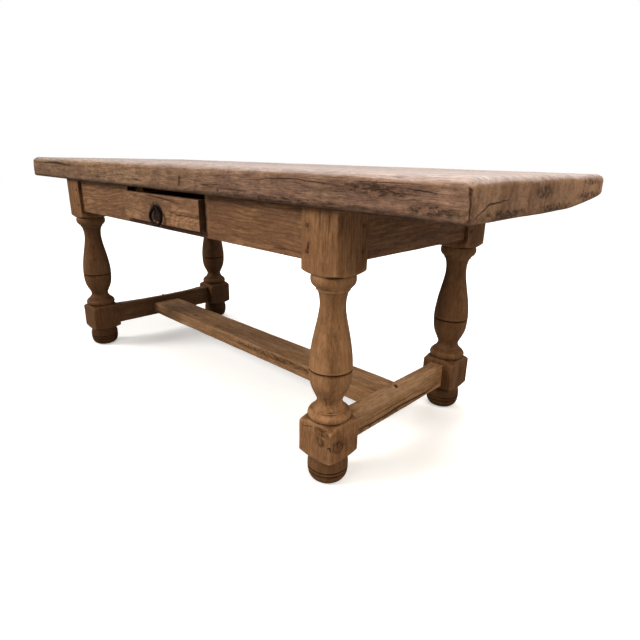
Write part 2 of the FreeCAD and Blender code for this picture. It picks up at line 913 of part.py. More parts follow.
# Runners with guides under the drawer's sides, kickers above them and stops behind
def runner(name, side):
    body = new_body(name)
    inner = side * (half_drawer - g.runner_ledge)
    face = side * runner_x
    outer = side * guide_outer_x
    top = g.opening_sill + g.runner_guide_height
    section = [
        (inner, 0),
        (outer, 0),
        (outer, top),
        (face, top),
        (face, g.opening_sill),
        (inner, g.opening_sill),
    ]
    pad(body, "XZ", (-apron_inner_y, apron_inner_y), section)
    tenon = rectangle(
        span(
            side * (runner_tenon_x - g.runner_tenon_width / 2),
            side * (runner_tenon_x + g.runner_tenon_width / 2),
        ),
        (runner_tenon_z, runner_tenon_z + g.runner_tenon_height),
    )
    for end in (-1, 1):
        tip = apron_inner_y + g.runner_tenon
        pad(body, "XZ", span(end * apron_inner_y, end * tip), tenon)
    place(body, 0, 0, apron_bottom)


def kicker(name, side):
    body = new_body(name)
    section = rectangle((-g.kicker_width / 2, g.kicker_width / 2), (0, kicker_thickness))
    pad(body, "XZ", (-kicker_half_length, kicker_half_length), section)
    holes = [(0, end * kicker_screw_y) for end in (-1, 1)]
    drill(body, "XY", (-g.cut_overrun, kicker_thickness + g.cut_overrun), holes, screw_hole)
    place(body, side * kicker_x, 0, top_underside - kicker_thickness)


def drawer_stops():
    """Two blocks glued on the runners, which the drawer's sides meet when it is shut."""
    closed_back = drawer_face_y + g.drawer_depth + g.drawer_pulled_out
    stops = []
    for side in (-1, 1):
        block = doc.addObject("Part::Box", "Stop")
        bind(block, "Length", g.runner_ledge)
        bind(block, "Width", g.stop_length)
        bind(block, "Height", g.stop_height)
        left, _ = span(side * half_drawer, side * (half_drawer - g.runner_ledge))
        place(block, left, closed_back + g.slide_clearance, sill_height)
        stops.append(block)
    finish_group("drawer_stops", stops)


runner("drawer_runner_left", -1)
runner("drawer_runner_right", 1)
kicker("drawer_kicker_left", -1)
kicker("drawer_kicker_right", 1)
drawer_stops()


# Wooden buttons: screwed up into the top, each with a tongue in a slot of the apron
def screw(x, y, z, head_depth):
    """A countersunk screw that stands upright, its head's flat face at z."""
    head = doc.addObject("Part::Cone", "ScrewHead")
    bind(head, "Radius1", g.screw_head_radius)
    bind(head, "Radius2", g.screw_radius)
    bind(head, "Height", g.screw_head_radius - g.screw_radius)
    place(head, x, y, z)
    shank = doc.addObject("Part::Cylinder", "ScrewShank")
    bind(shank, "Radius", g.screw_radius)
    bind(shank, "Height", head_depth + g.screw_grip - g.joint_end_gap)
    place(shank, x, y, z)
    whole = doc.addObject("Part::Fuse", "Screw")
    whole.Base = head
    whole.Tool = shank
    return whole


def screw_hollow(x, y, z, depth):
    """The hole and countersink that take such a screw."""
    sink = doc.addObject("Part::Cone", "Countersink")
    bind(sink, "Radius1", g.screw_head_radius + g.peg_clearance)
    bind(sink, "Radius2", screw_hole)
    bind(sink, "Height", g.screw_head_radius - g.screw_radius)
    place(sink, x, y, z)
    hole = doc.addObject("Part::Cylinder", "ScrewHole")
    bind(hole, "Radius", screw_hole)
    bind(hole, "Height", depth)
    place(hole, x, y, z)
    whole = doc.addObject("Part::Fuse", "ScrewHollow")
    whole.Base = sink
    whole.Tool = hole
    return whole


def top_buttons():
    buttons, screws = [], []
    for x, end in button_places:
        z = top_underside - g.button_thickness
        low, _ = span(end * apron_inner_y, end * (apron_inner_y - g.button_length))
        block = doc.addObject("Part::Box", "ButtonBlock")
        bind(block, "Length", g.button_width)
        bind(block, "Width", g.button_length)
        bind(block, "Height", g.button_thickness)
        place(block, x - g.button_width / 2, low, z)
        tongue = doc.addObject("Part::Box", "ButtonTongue")
        bind(tongue, "Length", g.button_width)
        bind(tongue, "Width", g.button_tongue)
        bind(tongue, "Height", g.button_tongue_thickness)
        low, _ = span(end * apron_inner_y, end * (apron_inner_y + g.button_tongue))
        tongue_z = apron_bottom + slot_top - g.button_tongue_thickness
        place(tongue, x - g.button_width / 2, low, tongue_z)
        blank = doc.addObject("Part::Fuse", "ButtonBlank")
        blank.Base = block
        blank.Tool = tongue
        button = doc.addObject("Part::Cut", "Button")
        button.Base = blank
        button.Tool = screw_hollow(x, end * button_screw_y, z, g.button_thickness)
        buttons.append(button)
        screws.append(screw(x, end * button_screw_y, z, g.button_thickness))
    finish_group("top_buttons", buttons)
    finish_group("button_screws", screws)


def kicker_screws():
    z = top_underside - kicker_thickness
    screws = []
    for side in (-1, 1):
        for end in (-1, 1):
            shank = doc.addObject("Part::Cylinder", "KickerScrew")
            bind(shank, "Radius", g.screw_radius)
            bind(shank, "Height", kicker_thickness + g.screw_grip - g.joint_end_gap)
            place(shank, side * kicker_x, end * kicker_screw_y, z)
            screws.append(shank)
    finish_group("kicker_screws", screws)


top_buttons()
kicker_screws()


# The drawer: sides lapped into the front with dovetails, the back housed between them
# and a thin bottom slid into grooves. Local origin: middle of the front's lower outer edge.
tail_pitch = drawer_side_height / dovetail_count
groove_low = g.bottom_height
groove_high = g.bottom_height + g.bottom_thickness
groove_span = (groove_low, groove_high)


def tail_corners(index):
    """Half widths of a tail at its root and at its tip, and its middle height."""
    middle = tail_pitch * (index + 0.5)
    return middle, g.dovetail_width / 2 - g.dovetail_flare, g.dovetail_width / 2


def drawer_front(name):
    body = new_body(name)
    thick = g.drawer_front_thickness
    pad(
        body,
        "XZ",
        (as_size(0), thick),
        rectangle((-half_drawer, half_drawer), (0, drawer_height)),
    )
    soften(body, "Chamfer", g.drawer_front_arris, lambda edge: lies_at(edge, "y", 0))
    sockets = []
    for index in range(dovetail_count):
        middle, at_root, at_tip = tail_corners(index)
        sockets.append(
            [
                (thick, middle - at_root),
                (thick, middle + at_root),
                (g.dovetail_lap, middle + at_tip),
                (g.dovetail_lap, middle - at_tip),
            ]
        )
    for side in (-1, 1):
        reach = span(side * side_inner, side * half_drawer)
        extrude(body, "Pocket", "YZ", reach, sockets)
    groove = rectangle((thick - g.bottom_housing, thick), groove_span)
    pocket(body, "YZ", (-side_inner, side_inner), groove)
    hole = [(0, g.pull_rise)]
    drill(body, "XZ", (as_size(0), thick), hole, g.eye_shank_radius + g.peg_clearance)
    place(body, 0, drawer_face_y, drawer_bottom)


def drawer_side(name, side):
    body = new_body(name)
    height, shoulder = drawer_side_height, g.drawer_front_thickness
    outline = [(g.drawer_depth, 0), (g.drawer_depth, height), (shoulder, height)]
    for index in reversed(range(dovetail_count)):
        middle, at_root, at_tip = tail_corners(index)
        outline += [
            (shoulder, middle + at_root),
            (g.dovetail_lap, middle + at_tip),
            (g.dovetail_lap, middle - at_tip),
            (shoulder, middle - at_root),
        ]
    outline.append((shoulder, 0))
    pad(body, "YZ", span(side * side_inner, side * half_drawer), outline)
    groove = rectangle((g.dovetail_lap, g.drawer_depth), groove_span)
    pocket(body, "YZ", span(side * side_inner, side * (side_inner + g.bottom_housing)), groove)
    back_face = g.drawer_depth - g.drawer_back_setback
    housing = rectangle(
        (back_face - g.drawer_back_thickness, back_face),
        (groove_high, height - g.drawer_back_drop),
    )
    pocket(body, "YZ", span(side * side_inner, side * (side_inner + g.back_housing)), housing)
    place(body, 0, drawer_face_y, drawer_bottom)


def nail_places():
    return [(count * g.nail_spacing, nail_y) for count in (-1, 0, 1)]


nail_y = g.drawer_depth - g.drawer_back_setback - g.drawer_back_thickness / 2
nail_hole = g.nail_radius + g.peg_clearance


def drawer_back(name):
    body = new_body(name)
    half = side_inner + g.back_housing
    back_face = g.drawer_depth - g.drawer_back_setback
    pad(
        body,
        "YZ",
        (-half, half),
        rectangle(
            (back_face - g.drawer_back_thickness, back_face),
            (groove_high, drawer_side_height - g.drawer_back_drop),
        ),
    )
    drill(body, "XY", (groove_high, g.bottom_height + g.nail_length), nail_places(), nail_hole)
    place(body, 0, drawer_face_y, drawer_bottom)


def drawer_bottom_panel(name):
    body = new_body(name)
    half = side_inner + g.bottom_housing - g.panel_clearance
    front = g.drawer_front_thickness - g.bottom_housing + g.panel_clearance
    pad(body, "XY", groove_span, rectangle((-half, half), (front, g.drawer_depth)))
    # the panel's front corners pass between the sides' tails
    for side in (-1, 1):
        corner = rectangle(
            span(side * (side_inner - g.panel_clearance), side * half),
            (front, g.drawer_front_thickness + g.panel_clearance),
        )
        pocket(body, "XY", groove_span, corner)
    drill(body, "XY", groove_span, nail_places(), nail_hole)
    place(body, 0, drawer_face_y, drawer_bottom)


def bottom_nails():
    nails = [
        peg(
            x,
            drawer_face_y + y,
            drawer_bottom + groove_low,
            g.nail_radius,
            g.nail_length - g.joint_end_gap,
            (0, 0, 1),
        )
        for x, y in nail_places()
    ]
    finish_group("bottom_nails", nails)


drawer_front("drawer_front")
drawer_side("drawer_side_left", -1)
drawer_side("drawer_side_right", 1)
drawer_back("drawer_back")
drawer_bottom_panel("drawer_bottom")
bottom_nails()


# The pull: a raised plate, an eye whose shank passes through the drawer front to a nut,
# and an onion-shaped drop ring that swings in the eye. Local origin: the ring's pivot.
plate_shares = [(0, 1), (0.42, 0.93), (0.75, 0.66)]
eye_stand_share = 0.75
eye_hole = g.ring_rod_radius + g.ring_clearance
eye_outer = eye_hole + g.eye_wall
pull_projection = eye_outer + g.plate_dome * eye_stand_share
pull_y = drawer_face_y - pull_projection
pull_height = drawer_bottom + g.pull_rise
shank_hole = g.eye_shank_radius + g.peg_clearance
back_of_front = pull_projection + g.drawer_front_thickness


def pull_backplate(name):
    """A hammered plate that rises to its middle in three slopes, over a thin rim."""
    body = new_body(name)
    sketch = new_sketch(body, "XY")
    rise, wide = g.plate_dome, g.plate_radius
    slopes = [(wide * across, -rise * out) for across, out in plate_shares]
    draw(sketch, [(0, 0), *slopes, (wide, -g.plate_rim), (wide, 0)])
    dome = body.newObject("PartDesign::Revolution", "Dome")
    dome.Profile = sketch
    dome.ReferenceAxis = (sketch, ["V_Axis"])
    dome.Angle = 360
    doc.recompute()
    drill(body, "XZ", (-rise - g.cut_overrun, as_size(0)), [(0, g.plate_drop)], shank_hole)
    place(body, 0, drawer_face_y, pull_height - g.plate_drop)


def pull_eye(name):
    body = new_body(name)
    half = g.eye_thickness / 2
    extrude(body, "Pad", "YZ", (-half, half), circles=[(0, 0, eye_outer)])
    tip = back_of_front + g.washer_thickness + g.nut_thickness
    reach = (eye_hole + g.eye_wall / 2, tip)
    extrude(body, "Pad", "XZ", reach, circles=[(0, 0, g.eye_shank_radius)])
    drill(body, "YZ", (-half - g.cut_overrun, half + g.cut_overrun), [(0, 0)], eye_hole)
    place(body, 0, pull_y, pull_height)


def pull_washer(name):
    body = new_body(name)
    circles = [(0, 0, g.washer_radius), (0, 0, shank_hole)]
    reach = (back_of_front, back_of_front + g.washer_thickness)
    extrude(body, "Pad", "XZ", reach, circles=circles)
    place(body, 0, pull_y, pull_height)


def pull_nut(name):
    body = new_body(name)
    low = back_of_front + g.washer_thickness
    half = g.nut_width / 2
    reach = (low, low + g.nut_thickness)
    pad(body, "XZ", reach, rectangle((-half, half), (-half, half)))
    drill(body, "XZ", reach, [(0, 0)], shank_hole)
    place(body, 0, pull_y, pull_height)


def ring_path():
    """The rod's centre line in the XZ plane, from the pivot round to the pivot: a short
    straight crown, two sloping shoulders, two tight sides and one wide arc below."""
    slope = math.radians(crown_slope_degrees)
    sine, cosine = math.sin(slope), math.cos(slope)
    crown, side = g.ring_crown_radius, g.ring_side_radius
    turn_x = g.ring_crown_flat + crown * sine
    turn_z = -crown + crown * cosine
    # the shoulder line's distance from the pivot, along its normal
    reach = turn_x * sine + turn_z * cosine
    side_x = g.ring_half_width - side
    side_z = (reach - side - side_x * sine) / cosine
    shoulder = (side_x + side * sine, side_z + side * cosine)
    # the bottom arc touches both sides and passes the lowest point
    fall = g.ring_drop + side_z
    bottom = (side_x * side_x + fall * fall - side * side) / (2 * (fall - side))
    centre_z = bottom - g.ring_drop
    run_x, run_z = side_x, side_z - centre_z
    gap = root(run_x * run_x + run_z * run_z)
    touch = (run_x * bottom / gap, centre_z + run_z * bottom / gap)
    half_slope = slope / 2
    crown_through = (
        g.ring_crown_flat + crown * math.sin(half_slope),
        -crown + crown * math.cos(half_slope),
    )
    return {
        "flat": (g.ring_crown_flat, as_size(0)),
        "crown": (turn_x, turn_z, *crown_through),
        "shoulder": shoulder,
        "side": (*touch, g.ring_half_width, side_z),
        "bottom": (-touch[0], touch[1], 0, -g.ring_drop),
    }


def mirrored(point):
    return (-point[0], point[1])


def pull_ring(name):
    body = new_body(name)
    path = new_sketch(body, "XZ")
    stops = ring_path()
    crown_end, crown_through = stops["crown"][:2], stops["crown"][2:]
    touch, side_through = stops["side"][:2], stops["side"][2:]
    outline = [
        (0, 0),
        stops["flat"],
        stops["crown"],
        stops["shoulder"],
        stops["side"],
        stops["bottom"],
        (*mirrored(stops["shoulder"]), *mirrored(side_through)),
        mirrored(crown_end),
        (*mirrored(stops["flat"]), *mirrored(crown_through)),
    ]
    draw(path, outline)
    section = new_sketch(body, "YZ")
    draw_circle(section, 0, 0, g.ring_rod_radius)
    rod = body.newObject("PartDesign::AdditivePipe", "Rod")
    rod.Profile = section
    rod.Spine = (path, [])
    doc.recompute()
    place(body, 0, pull_y, pull_height)


pull_backplate("pull_backplate")
pull_eye("pull_eye")
pull_washer("pull_washer")
pull_nut("pull_nut")
pull_ring("pull_ring")


# Every object must be sound before anything is written
doc.recompute()
for item in doc.Objects:
    if "Invalid" in item.State or "Error" in item.State:
        raise ValueError(f"{item.Label} failed: {item.State}")
os.makedirs("parts", exist_ok=True)
for item in sub_parts:
    if item.Shape.isNull() or not item.Shape.isValid():
        raise ValueError(f"{item.Label} has no valid shape")
    item.Shape.exportStep(f"parts/{item.Label}.step")
    print(item.Label, len(item.Shape.Solids), round(item.Shape.Volume))
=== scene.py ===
import math

import bpy
import numpy as np
from mathutils import Matrix, Vector, noise


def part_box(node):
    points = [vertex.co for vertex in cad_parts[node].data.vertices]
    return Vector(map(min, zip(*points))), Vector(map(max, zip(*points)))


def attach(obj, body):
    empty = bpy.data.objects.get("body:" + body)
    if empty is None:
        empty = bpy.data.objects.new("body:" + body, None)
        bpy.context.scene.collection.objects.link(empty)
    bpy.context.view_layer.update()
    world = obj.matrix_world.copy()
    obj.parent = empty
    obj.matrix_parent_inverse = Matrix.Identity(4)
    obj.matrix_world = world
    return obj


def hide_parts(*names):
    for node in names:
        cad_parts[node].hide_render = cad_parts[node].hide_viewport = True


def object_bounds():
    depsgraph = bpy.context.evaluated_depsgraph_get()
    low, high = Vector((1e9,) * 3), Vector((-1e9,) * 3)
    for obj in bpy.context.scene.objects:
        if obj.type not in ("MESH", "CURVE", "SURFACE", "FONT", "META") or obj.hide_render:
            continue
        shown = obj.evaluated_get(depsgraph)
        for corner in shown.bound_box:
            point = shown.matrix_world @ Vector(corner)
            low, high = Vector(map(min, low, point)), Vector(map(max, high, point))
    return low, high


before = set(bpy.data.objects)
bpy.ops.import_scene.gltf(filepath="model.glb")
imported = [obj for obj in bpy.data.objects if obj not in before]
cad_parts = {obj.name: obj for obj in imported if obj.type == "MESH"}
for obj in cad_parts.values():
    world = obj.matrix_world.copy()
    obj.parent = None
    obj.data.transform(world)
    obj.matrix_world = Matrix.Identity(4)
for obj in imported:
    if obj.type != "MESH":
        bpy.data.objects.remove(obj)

# An old farmhouse table of bleached oak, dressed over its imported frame. Metres, Z up,
# the length along X, the drawer towards -Y.
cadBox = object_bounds()
mm = 0.001


# Shader trees. A wire stands for an output socket, and arithmetic on wires adds the nodes it needs.

class Wire:
    def __init__(self, socket):
        self.socket = socket
        self.tree = socket.id_data
        self.single = socket.type == "VALUE"  # one number, not a vector or a colour

    def __add__(self, other):
        return calc("ADD", self, other)

    def __radd__(self, other):
        return calc("ADD", self, other)

    def __sub__(self, other):
        return calc("SUBTRACT", self, other)

    def __rsub__(self, other):
        return calc("SUBTRACT", other, self)

    def __mul__(self, other):
        return calc("MULTIPLY", self, other)

    def __truediv__(self, other):
        return calc("DIVIDE", self, other)

    def __abs__(self):
        return calc("ABSOLUTE", self)


def feed(node, inputs):
    # a wire is linked, and anything else becomes the socket's own value
    for key, value in inputs.items():
        socket = node.inputs[key]
        if isinstance(value, Wire):
            node.id_data.links.new(value.socket, socket)
        elif socket.type == "RGBA":
            socket.default_value = (*value, 1.0)
        else:
            socket.default_value = value


def addNode(tree, kind, inputs=None, out=0, **settings):
    node = tree.nodes.new("ShaderNode" + kind)
    for key, value in settings.items():
        setattr(node, key, value)
    feed(node, inputs or {})
    return Wire(node.outputs[out])


def firstWire(values):
    return next(value for value in values if isinstance(value, Wire))


def calc(operation, *values, **settings):
    # one step of arithmetic, done on vectors where the first wire is a vector or a colour
    wire = firstWire(values)
    inputs = dict(enumerate(values))
    if wire.single:
        return addNode(wire.tree, "Math", inputs, operation=operation, **settings)
    if operation == "MULTIPLY" and getattr(values[1], "single", False):
        operation = "SCALE"
        inputs = {0: values[0], "Scale": values[1]}
    out = "Value" if operation in ("DOT_PRODUCT", "LENGTH", "DISTANCE") else "Vector"
    return addNode(wire.tree, "VectorMath", inputs, out, operation=operation)


def split(vector):
    # its X, Y and Z, each as a wire
    node = vector.tree.nodes.new("ShaderNodeSeparateXYZ")
    feed(node, {0: vector})
    return [Wire(socket) for socket in node.outputs]


def fractal(place, scale, detail=3.0, roughness=0.5, distortion=0.0, out="Fac"):
    # three numbers as the scale stretch the noise
    if isinstance(scale, tuple):
        place, scale = place * scale, 1.0
    inputs = {"Vector": place, "Scale": scale, "Detail": detail, "Roughness": roughness,
              "Distortion": distortion}
    return addNode(place.tree, "TexNoise", inputs, out)


def between(value, low, high, lowTo=0.0, highTo=1.0, style="SMOOTHSTEP"):
    # value taken from low..high to lowTo..highTo
    inputs = dict(enumerate((value, low, high, lowTo, highTo)))
    return addNode(value.tree, "MapRange", inputs, interpolation_type=style)


def tint(share, first, second):
    # the first colour, turned into the second by share
    inputs = {0: share, 6: first, 7: second}
    return addNode(firstWire(inputs.values()).tree, "Mix", inputs, 2, data_type="RGBA")


socketKinds = {"VALUE": "NodeSocketFloat", "VECTOR": "NodeSocketVector", "RGBA": "NodeSocketColor"}
origin, black = (0.0, 0.0, 0.0), (0.0, 0.0, 0.0, 1.0)


def shaderGroup(name, inputs):
    # makes a node group of the function below it, which takes the inputs and gives the outputs;
    # one number makes a value input, three make a vector and four a colour
    def build(work):
        group = bpy.data.node_groups.new(name, "ShaderNodeTree")
        for label, start in inputs.items():
            kind = "VALUE" if isinstance(start, float) else "VECTOR" if len(start) == 3 else "RGBA"
            socket = group.interface.new_socket(label, in_out="INPUT", socket_type=socketKinds[kind])
            socket.default_value = start
        given = group.nodes.new("NodeGroupInput").outputs
        results = work(*(Wire(given[label]) for label in inputs))
        for label, wire in results.items():
            group.interface.new_socket(label, in_out="OUTPUT", socket_type=socketKinds[wire.socket.type])
        feed(group.nodes.new("NodeGroupOutput"), results)
        return group

    return build


def useGroup(tree, group, inputs):
    node = tree.nodes.new("ShaderNodeGroup")
    node.node_tree = group
    feed(node, inputs)
    return {socket.name: Wire(socket) for socket in node.outputs}


# Shader node groups, each shared by several materials. Where a group draws the grain or its
# wear, the X of Position runs along the grain.

@shaderGroup("oak grain", {"Position": origin, "Rings per metre": 90.0, "Tilt": 0.04, "Wander": 0.02})
def oakGrain(place, rings, tilt, wander):
    x, y, z = split(place)
    drift = (fractal(place, (2.2, 8.0, 8.0), 3.0, 0.55) - 0.5) * wander
    across = y + x * tilt
    distance = calc("SQRT", across * across + z * z) + drift
    wave = between(calc("SINE", distance * rings * math.tau), -0.98, 0.1)
    pores = fractal(place, (26.0, 560.0, 560.0), 2.0) + wave * 0.06
    long = fractal(place, (1.3, 46.0, 46.0), 3.0, 0.55, 0.2)
    where = fractal(place, (3.1, 12.0, 12.0), 2.0)
    masks = {
        "Rings": wave,
        "Streaks": between(fractal(place, (6.0, 62.0, 62.0), 5.0, 0.66, 0.9), 0.3, 0.7),
        "Fibres": between(fractal(place, (16.0, 260.0, 260.0), 3.0, 0.6, 0.5), 0.3, 0.7),
        "Pores": between(pores, 0.64, 0.74),
        "Specks": between(fractal(place, (90.0, 170.0, 170.0), 4.0, 0.7), 0.36, 0.64),
        "Cloud": between(fractal(place, (2.6, 9.0, 9.0), 5.0, 0.65, 0.5), 0.36, 0.64),
        "Shakes": between(abs(long - 0.5), 0.004, 0.014, 1.0, 0.0) * between(where, 0.56, 0.64),
    }
    shares = {"Fibres": 0.5, "Pores": -0.6, "Streaks": 0.7, "Specks": 0.5, "Shakes": -1.5}
    masks["Relief"] = sum(masks[label] * share for label, share in shares.items())
    return masks


@shaderGroup("old age", {"Position": origin, "Edge": 0.0, "Hollow": 0.0})
def oldAge(place, edge, hollow):
    # rubbed arrises, grime and painted shade in the hollows, and blotches where hands and cloths went
    rubbed = edge * between(fractal(place, 38.0, 4.0, 0.6), 0.3, 0.65, 0.35, 1.0)
    grimeAndShade = hollow * between(fractal(place, 23.0, 4.0, 0.65), 0.25, 0.6, 0.4, 1.0)
    return {
        "Rubbed": calc("MINIMUM", rubbed, 1.0),
        "Grime": calc("MINIMUM", grimeAndShade, 1.0),
        "Blotches": between(fractal(place, 5.5, 5.0, 0.62, 0.6), 0.46, 0.62),
        "Mottle": between(fractal(place, (26.0, 74.0, 74.0), 5.0, 0.68, 0.4), 0.38, 0.6),
    }


grainMasks = ("Rings", "Streaks", "Fibres", "Pores", "Specks", "Cloud", "Shakes")
ageMasks = ("Rubbed", "Grime", "Blotches", "Mottle")
woodTones = ("Light", "Dark", "Patch", "Deep", "Worn")


@shaderGroup("wood colour", {
    **dict.fromkeys(grainMasks + ageMasks, 0.0), "Figure": 0.7, "Contrast": 1.0,
    **dict.fromkeys(woodTones, black),
})
def oakColour(rings, streaks, fibres, pores, specks, cloud, shakes, rubbed, grimeAndShade, blotches, mottle,
              figure, contrast, light, dark, patch, deep, worn):
    # tones laid over each other: the grain, then marks, dirt and painted shade, then the rubbed arrises
    colour = tint(0.45, tint(streaks, dark, light), tint(cloud, dark, light))
    colour = tint((1.0 - rings) * figure, colour, dark)
    colour = tint(blotches * 0.6, colour, patch)
    swings = ((mottle, 0.60), (specks, 0.42), (fibres, 0.34), (streaks, 0.22))
    bright = sum(((mask - 0.5) * share * contrast for mask, share in swings), 1.0)
    colour = colour * calc("MAXIMUM", bright, 0.25)
    for mask, share in ((pores, 0.4), (shakes, 0.75), (grimeAndShade, 0.9)):
        colour = tint(mask * share, colour, deep)
    return {"Colour": tint(rubbed * 0.7, colour, worn)}


@shaderGroup("found edge", {"Radius": 0.002})
def foundEdge(radius):
    # frame solids carry no wear of their own, so a small bevel finds their edges
    rounded = addNode(radius.tree, "Bevel", {"Radius": radius}, samples=4)
    turned = calc("DOT_PRODUCT", rounded, addNode(radius.tree, "NewGeometry", out="Normal"))
    return {"Edge": between(turned, 0.80, 0.985, 1.0, 0.0)}


@shaderGroup("end grain", {
    "Position": origin, "Normal": origin, "Mottle": 0.5, "Colour": black, "Light": black,
    "Patch": black, "Deep": black, "Share": 1.0, "Far lift": 1.0,
})
def endGrain(place, normal, mottle, colour, light, patch, deep, share, farLift):
    # an end face shows upright checks and darker, thirstier wood; Far lift pales it towards +Y
    upright = fractal(place, (1.0, 24.0, 6.0), 5.0, 0.62, 0.3)
    checked = tint(between(upright, 0.28, 0.6), patch, light)
    checked = tint(between(upright, 0.27, 0.36, 1.0, 0.0) * 0.7, checked, deep)
    lift = between(split(place)[1], -0.05, 0.36, 1.0, farLift) + (mottle - 0.5) * 0.35
    facing = between(abs(split(normal)[0]), 0.55, 0.9)
    return {"Colour": tint(facing * share, colour, checked * lift)}


@shaderGroup("bleached face", {
    "Position": origin, "Normal": origin, "Cloud": 0.5, "Colour": black, "Above": black,
    "Bleached": 1.0, "Right lift": 1.0,
})
def bleachedFace(place, normal, cloud, colour, above, bleached, rightLift):
    # the upper face is bleached, less so near its edges, and the paleness fades over the arris
    along, across = split(place)[:2]
    ragged = (cloud - 0.5) * 0.08
    facing = between(split(normal)[2] + ragged, 0.35, 0.95)
    rim = bleached * between(abs(across) + ragged * 0.45, 0.33, 0.372, 1.0, 0.7)
    return {"Colour": tint(facing * rim, colour, above * between(along, 0.2, 1.0, 0.93, rightLift))}


@shaderGroup("shade with height", {
    "Position": origin, "Cloud": 0.5, "Colour": black, "Deep": black,
    "Low": 0.0, "High": 1.0, "Share at low": 1.0, "Share at high": 1.0,
})
def heightShade(place, cloud, colour, deep, low, high, lowShare, highShare):
    # darker or paler with the height above the floor
    level = split(place)[2] + (cloud - 0.5) * 0.012
    return {"Colour": tint(between(level, low, high, lowShare, highShare), deep, colour)}


@shaderGroup("iron skin", {
    "Position": origin, "Edge": 0.0, "Base": black, "Rubbed": black, "Roughness": 0.5,
})
def ironSkin(place, edge, base, rubbed, roughness):
    # hammer and rust marks, rubbed bright along the edges
    coarse = fractal(place, 210.0, 4.0, 0.6)
    worn = calc("MAXIMUM", edge * between(coarse, 0.35, 0.6), between(coarse, 0.58, 0.7) * 0.5)
    return {
        "Colour": tint(worn, base, rubbed),
        "Roughness": roughness + between(coarse, 0.3, 0.7, 0.12, -0.08),
        "Relief": coarse + fractal(place, 900.0, 3.0, 0.6) * 0.3,
    }


@shaderGroup("wobble", {"Position": origin, "Wobble": 0.005})
def wobble(place, much):
    # moves the place a little, so that lines drawn through it run unevenly
    shake = fractal(place, 70.0, 4.0, out="Color") - (0.5, 0.5, 0.5)
    return {"Position": place + shake * much}


# The next three are chained: each adds its mark to the faint and dark masks made before it.

chainIn = {"Position": origin, "Faint": 0.0, "Dark": 0.0}


@shaderGroup("crack", {
    **chainIn, "From": origin, "To": (1.0, 0.0, 0.0), "Flatten": (1.0, 1.0, 1.0),
    "Width at start": 0.001, "Width at end": 0.001,
})
def crack(place, faint, dark, start, end, flatten, startWidth, endWidth):
    # one length of a drying crack; Flatten says how little the depth into the face counts
    run = (end - start) * flatten
    reach = (place - start) * flatten
    share = calc("DIVIDE", calc("DOT_PRODUCT", reach, run), calc("DOT_PRODUCT", run, run), use_clamp=True)
    distance = calc("DISTANCE", reach, run * share)
    wide = between(share, 0.0, 1.0, startWidth, endWidth, "LINEAR")
    return {"Faint": faint, "Dark": calc("MAXIMUM", dark, between(distance / wide, 0.3, 1.2, 0.9, 0.0))}


@shaderGroup("knot", {**chainIn, "Centre": origin, "Radius": 0.006})
def knot(place, faint, dark, centre, radius):
    # a small round knot: a dark heart inside a darker ring
    share = calc("DISTANCE", place, centre) / radius + (fractal(place, 90.0) - 0.5) * 0.9
    return {
        "Faint": calc("MAXIMUM", faint, between(abs(share - 1.0), 0.05, 0.4, 0.5, 0.0)),
        "Dark": calc("MAXIMUM", dark, between(share, 0.35, 0.7, 0.9, 0.0)),
    }


@shaderGroup("pitted", {
    **chainIn, "Centre": origin, "Reach": (0.05, 0.05, 0.02), "Fineness": (40.0, 120.0, 120.0),
})
def pitted(place, faint, dark, centre, reach, fineness):
    # a patch where the face is rotted into dark pits that follow the grain, ragged at its rim
    share = calc("LENGTH", (place - centre) / reach) + (fractal(place, 46.0, 4.0, 0.65) - 0.5) * 1.3
    inside = between(share, 0.35, 1.0, 1.0, 0.0)
    pits = between(fractal(place * fineness, 1.0, 5.0, 0.7, 0.4), 0.44, 0.6, 0.0, 0.8)
    return {
        "Faint": calc("MAXIMUM", faint, inside * 0.35),
        "Dark": calc("MAXIMUM", dark, inside * pits),
    }


print("shader groups ready")


# Materials

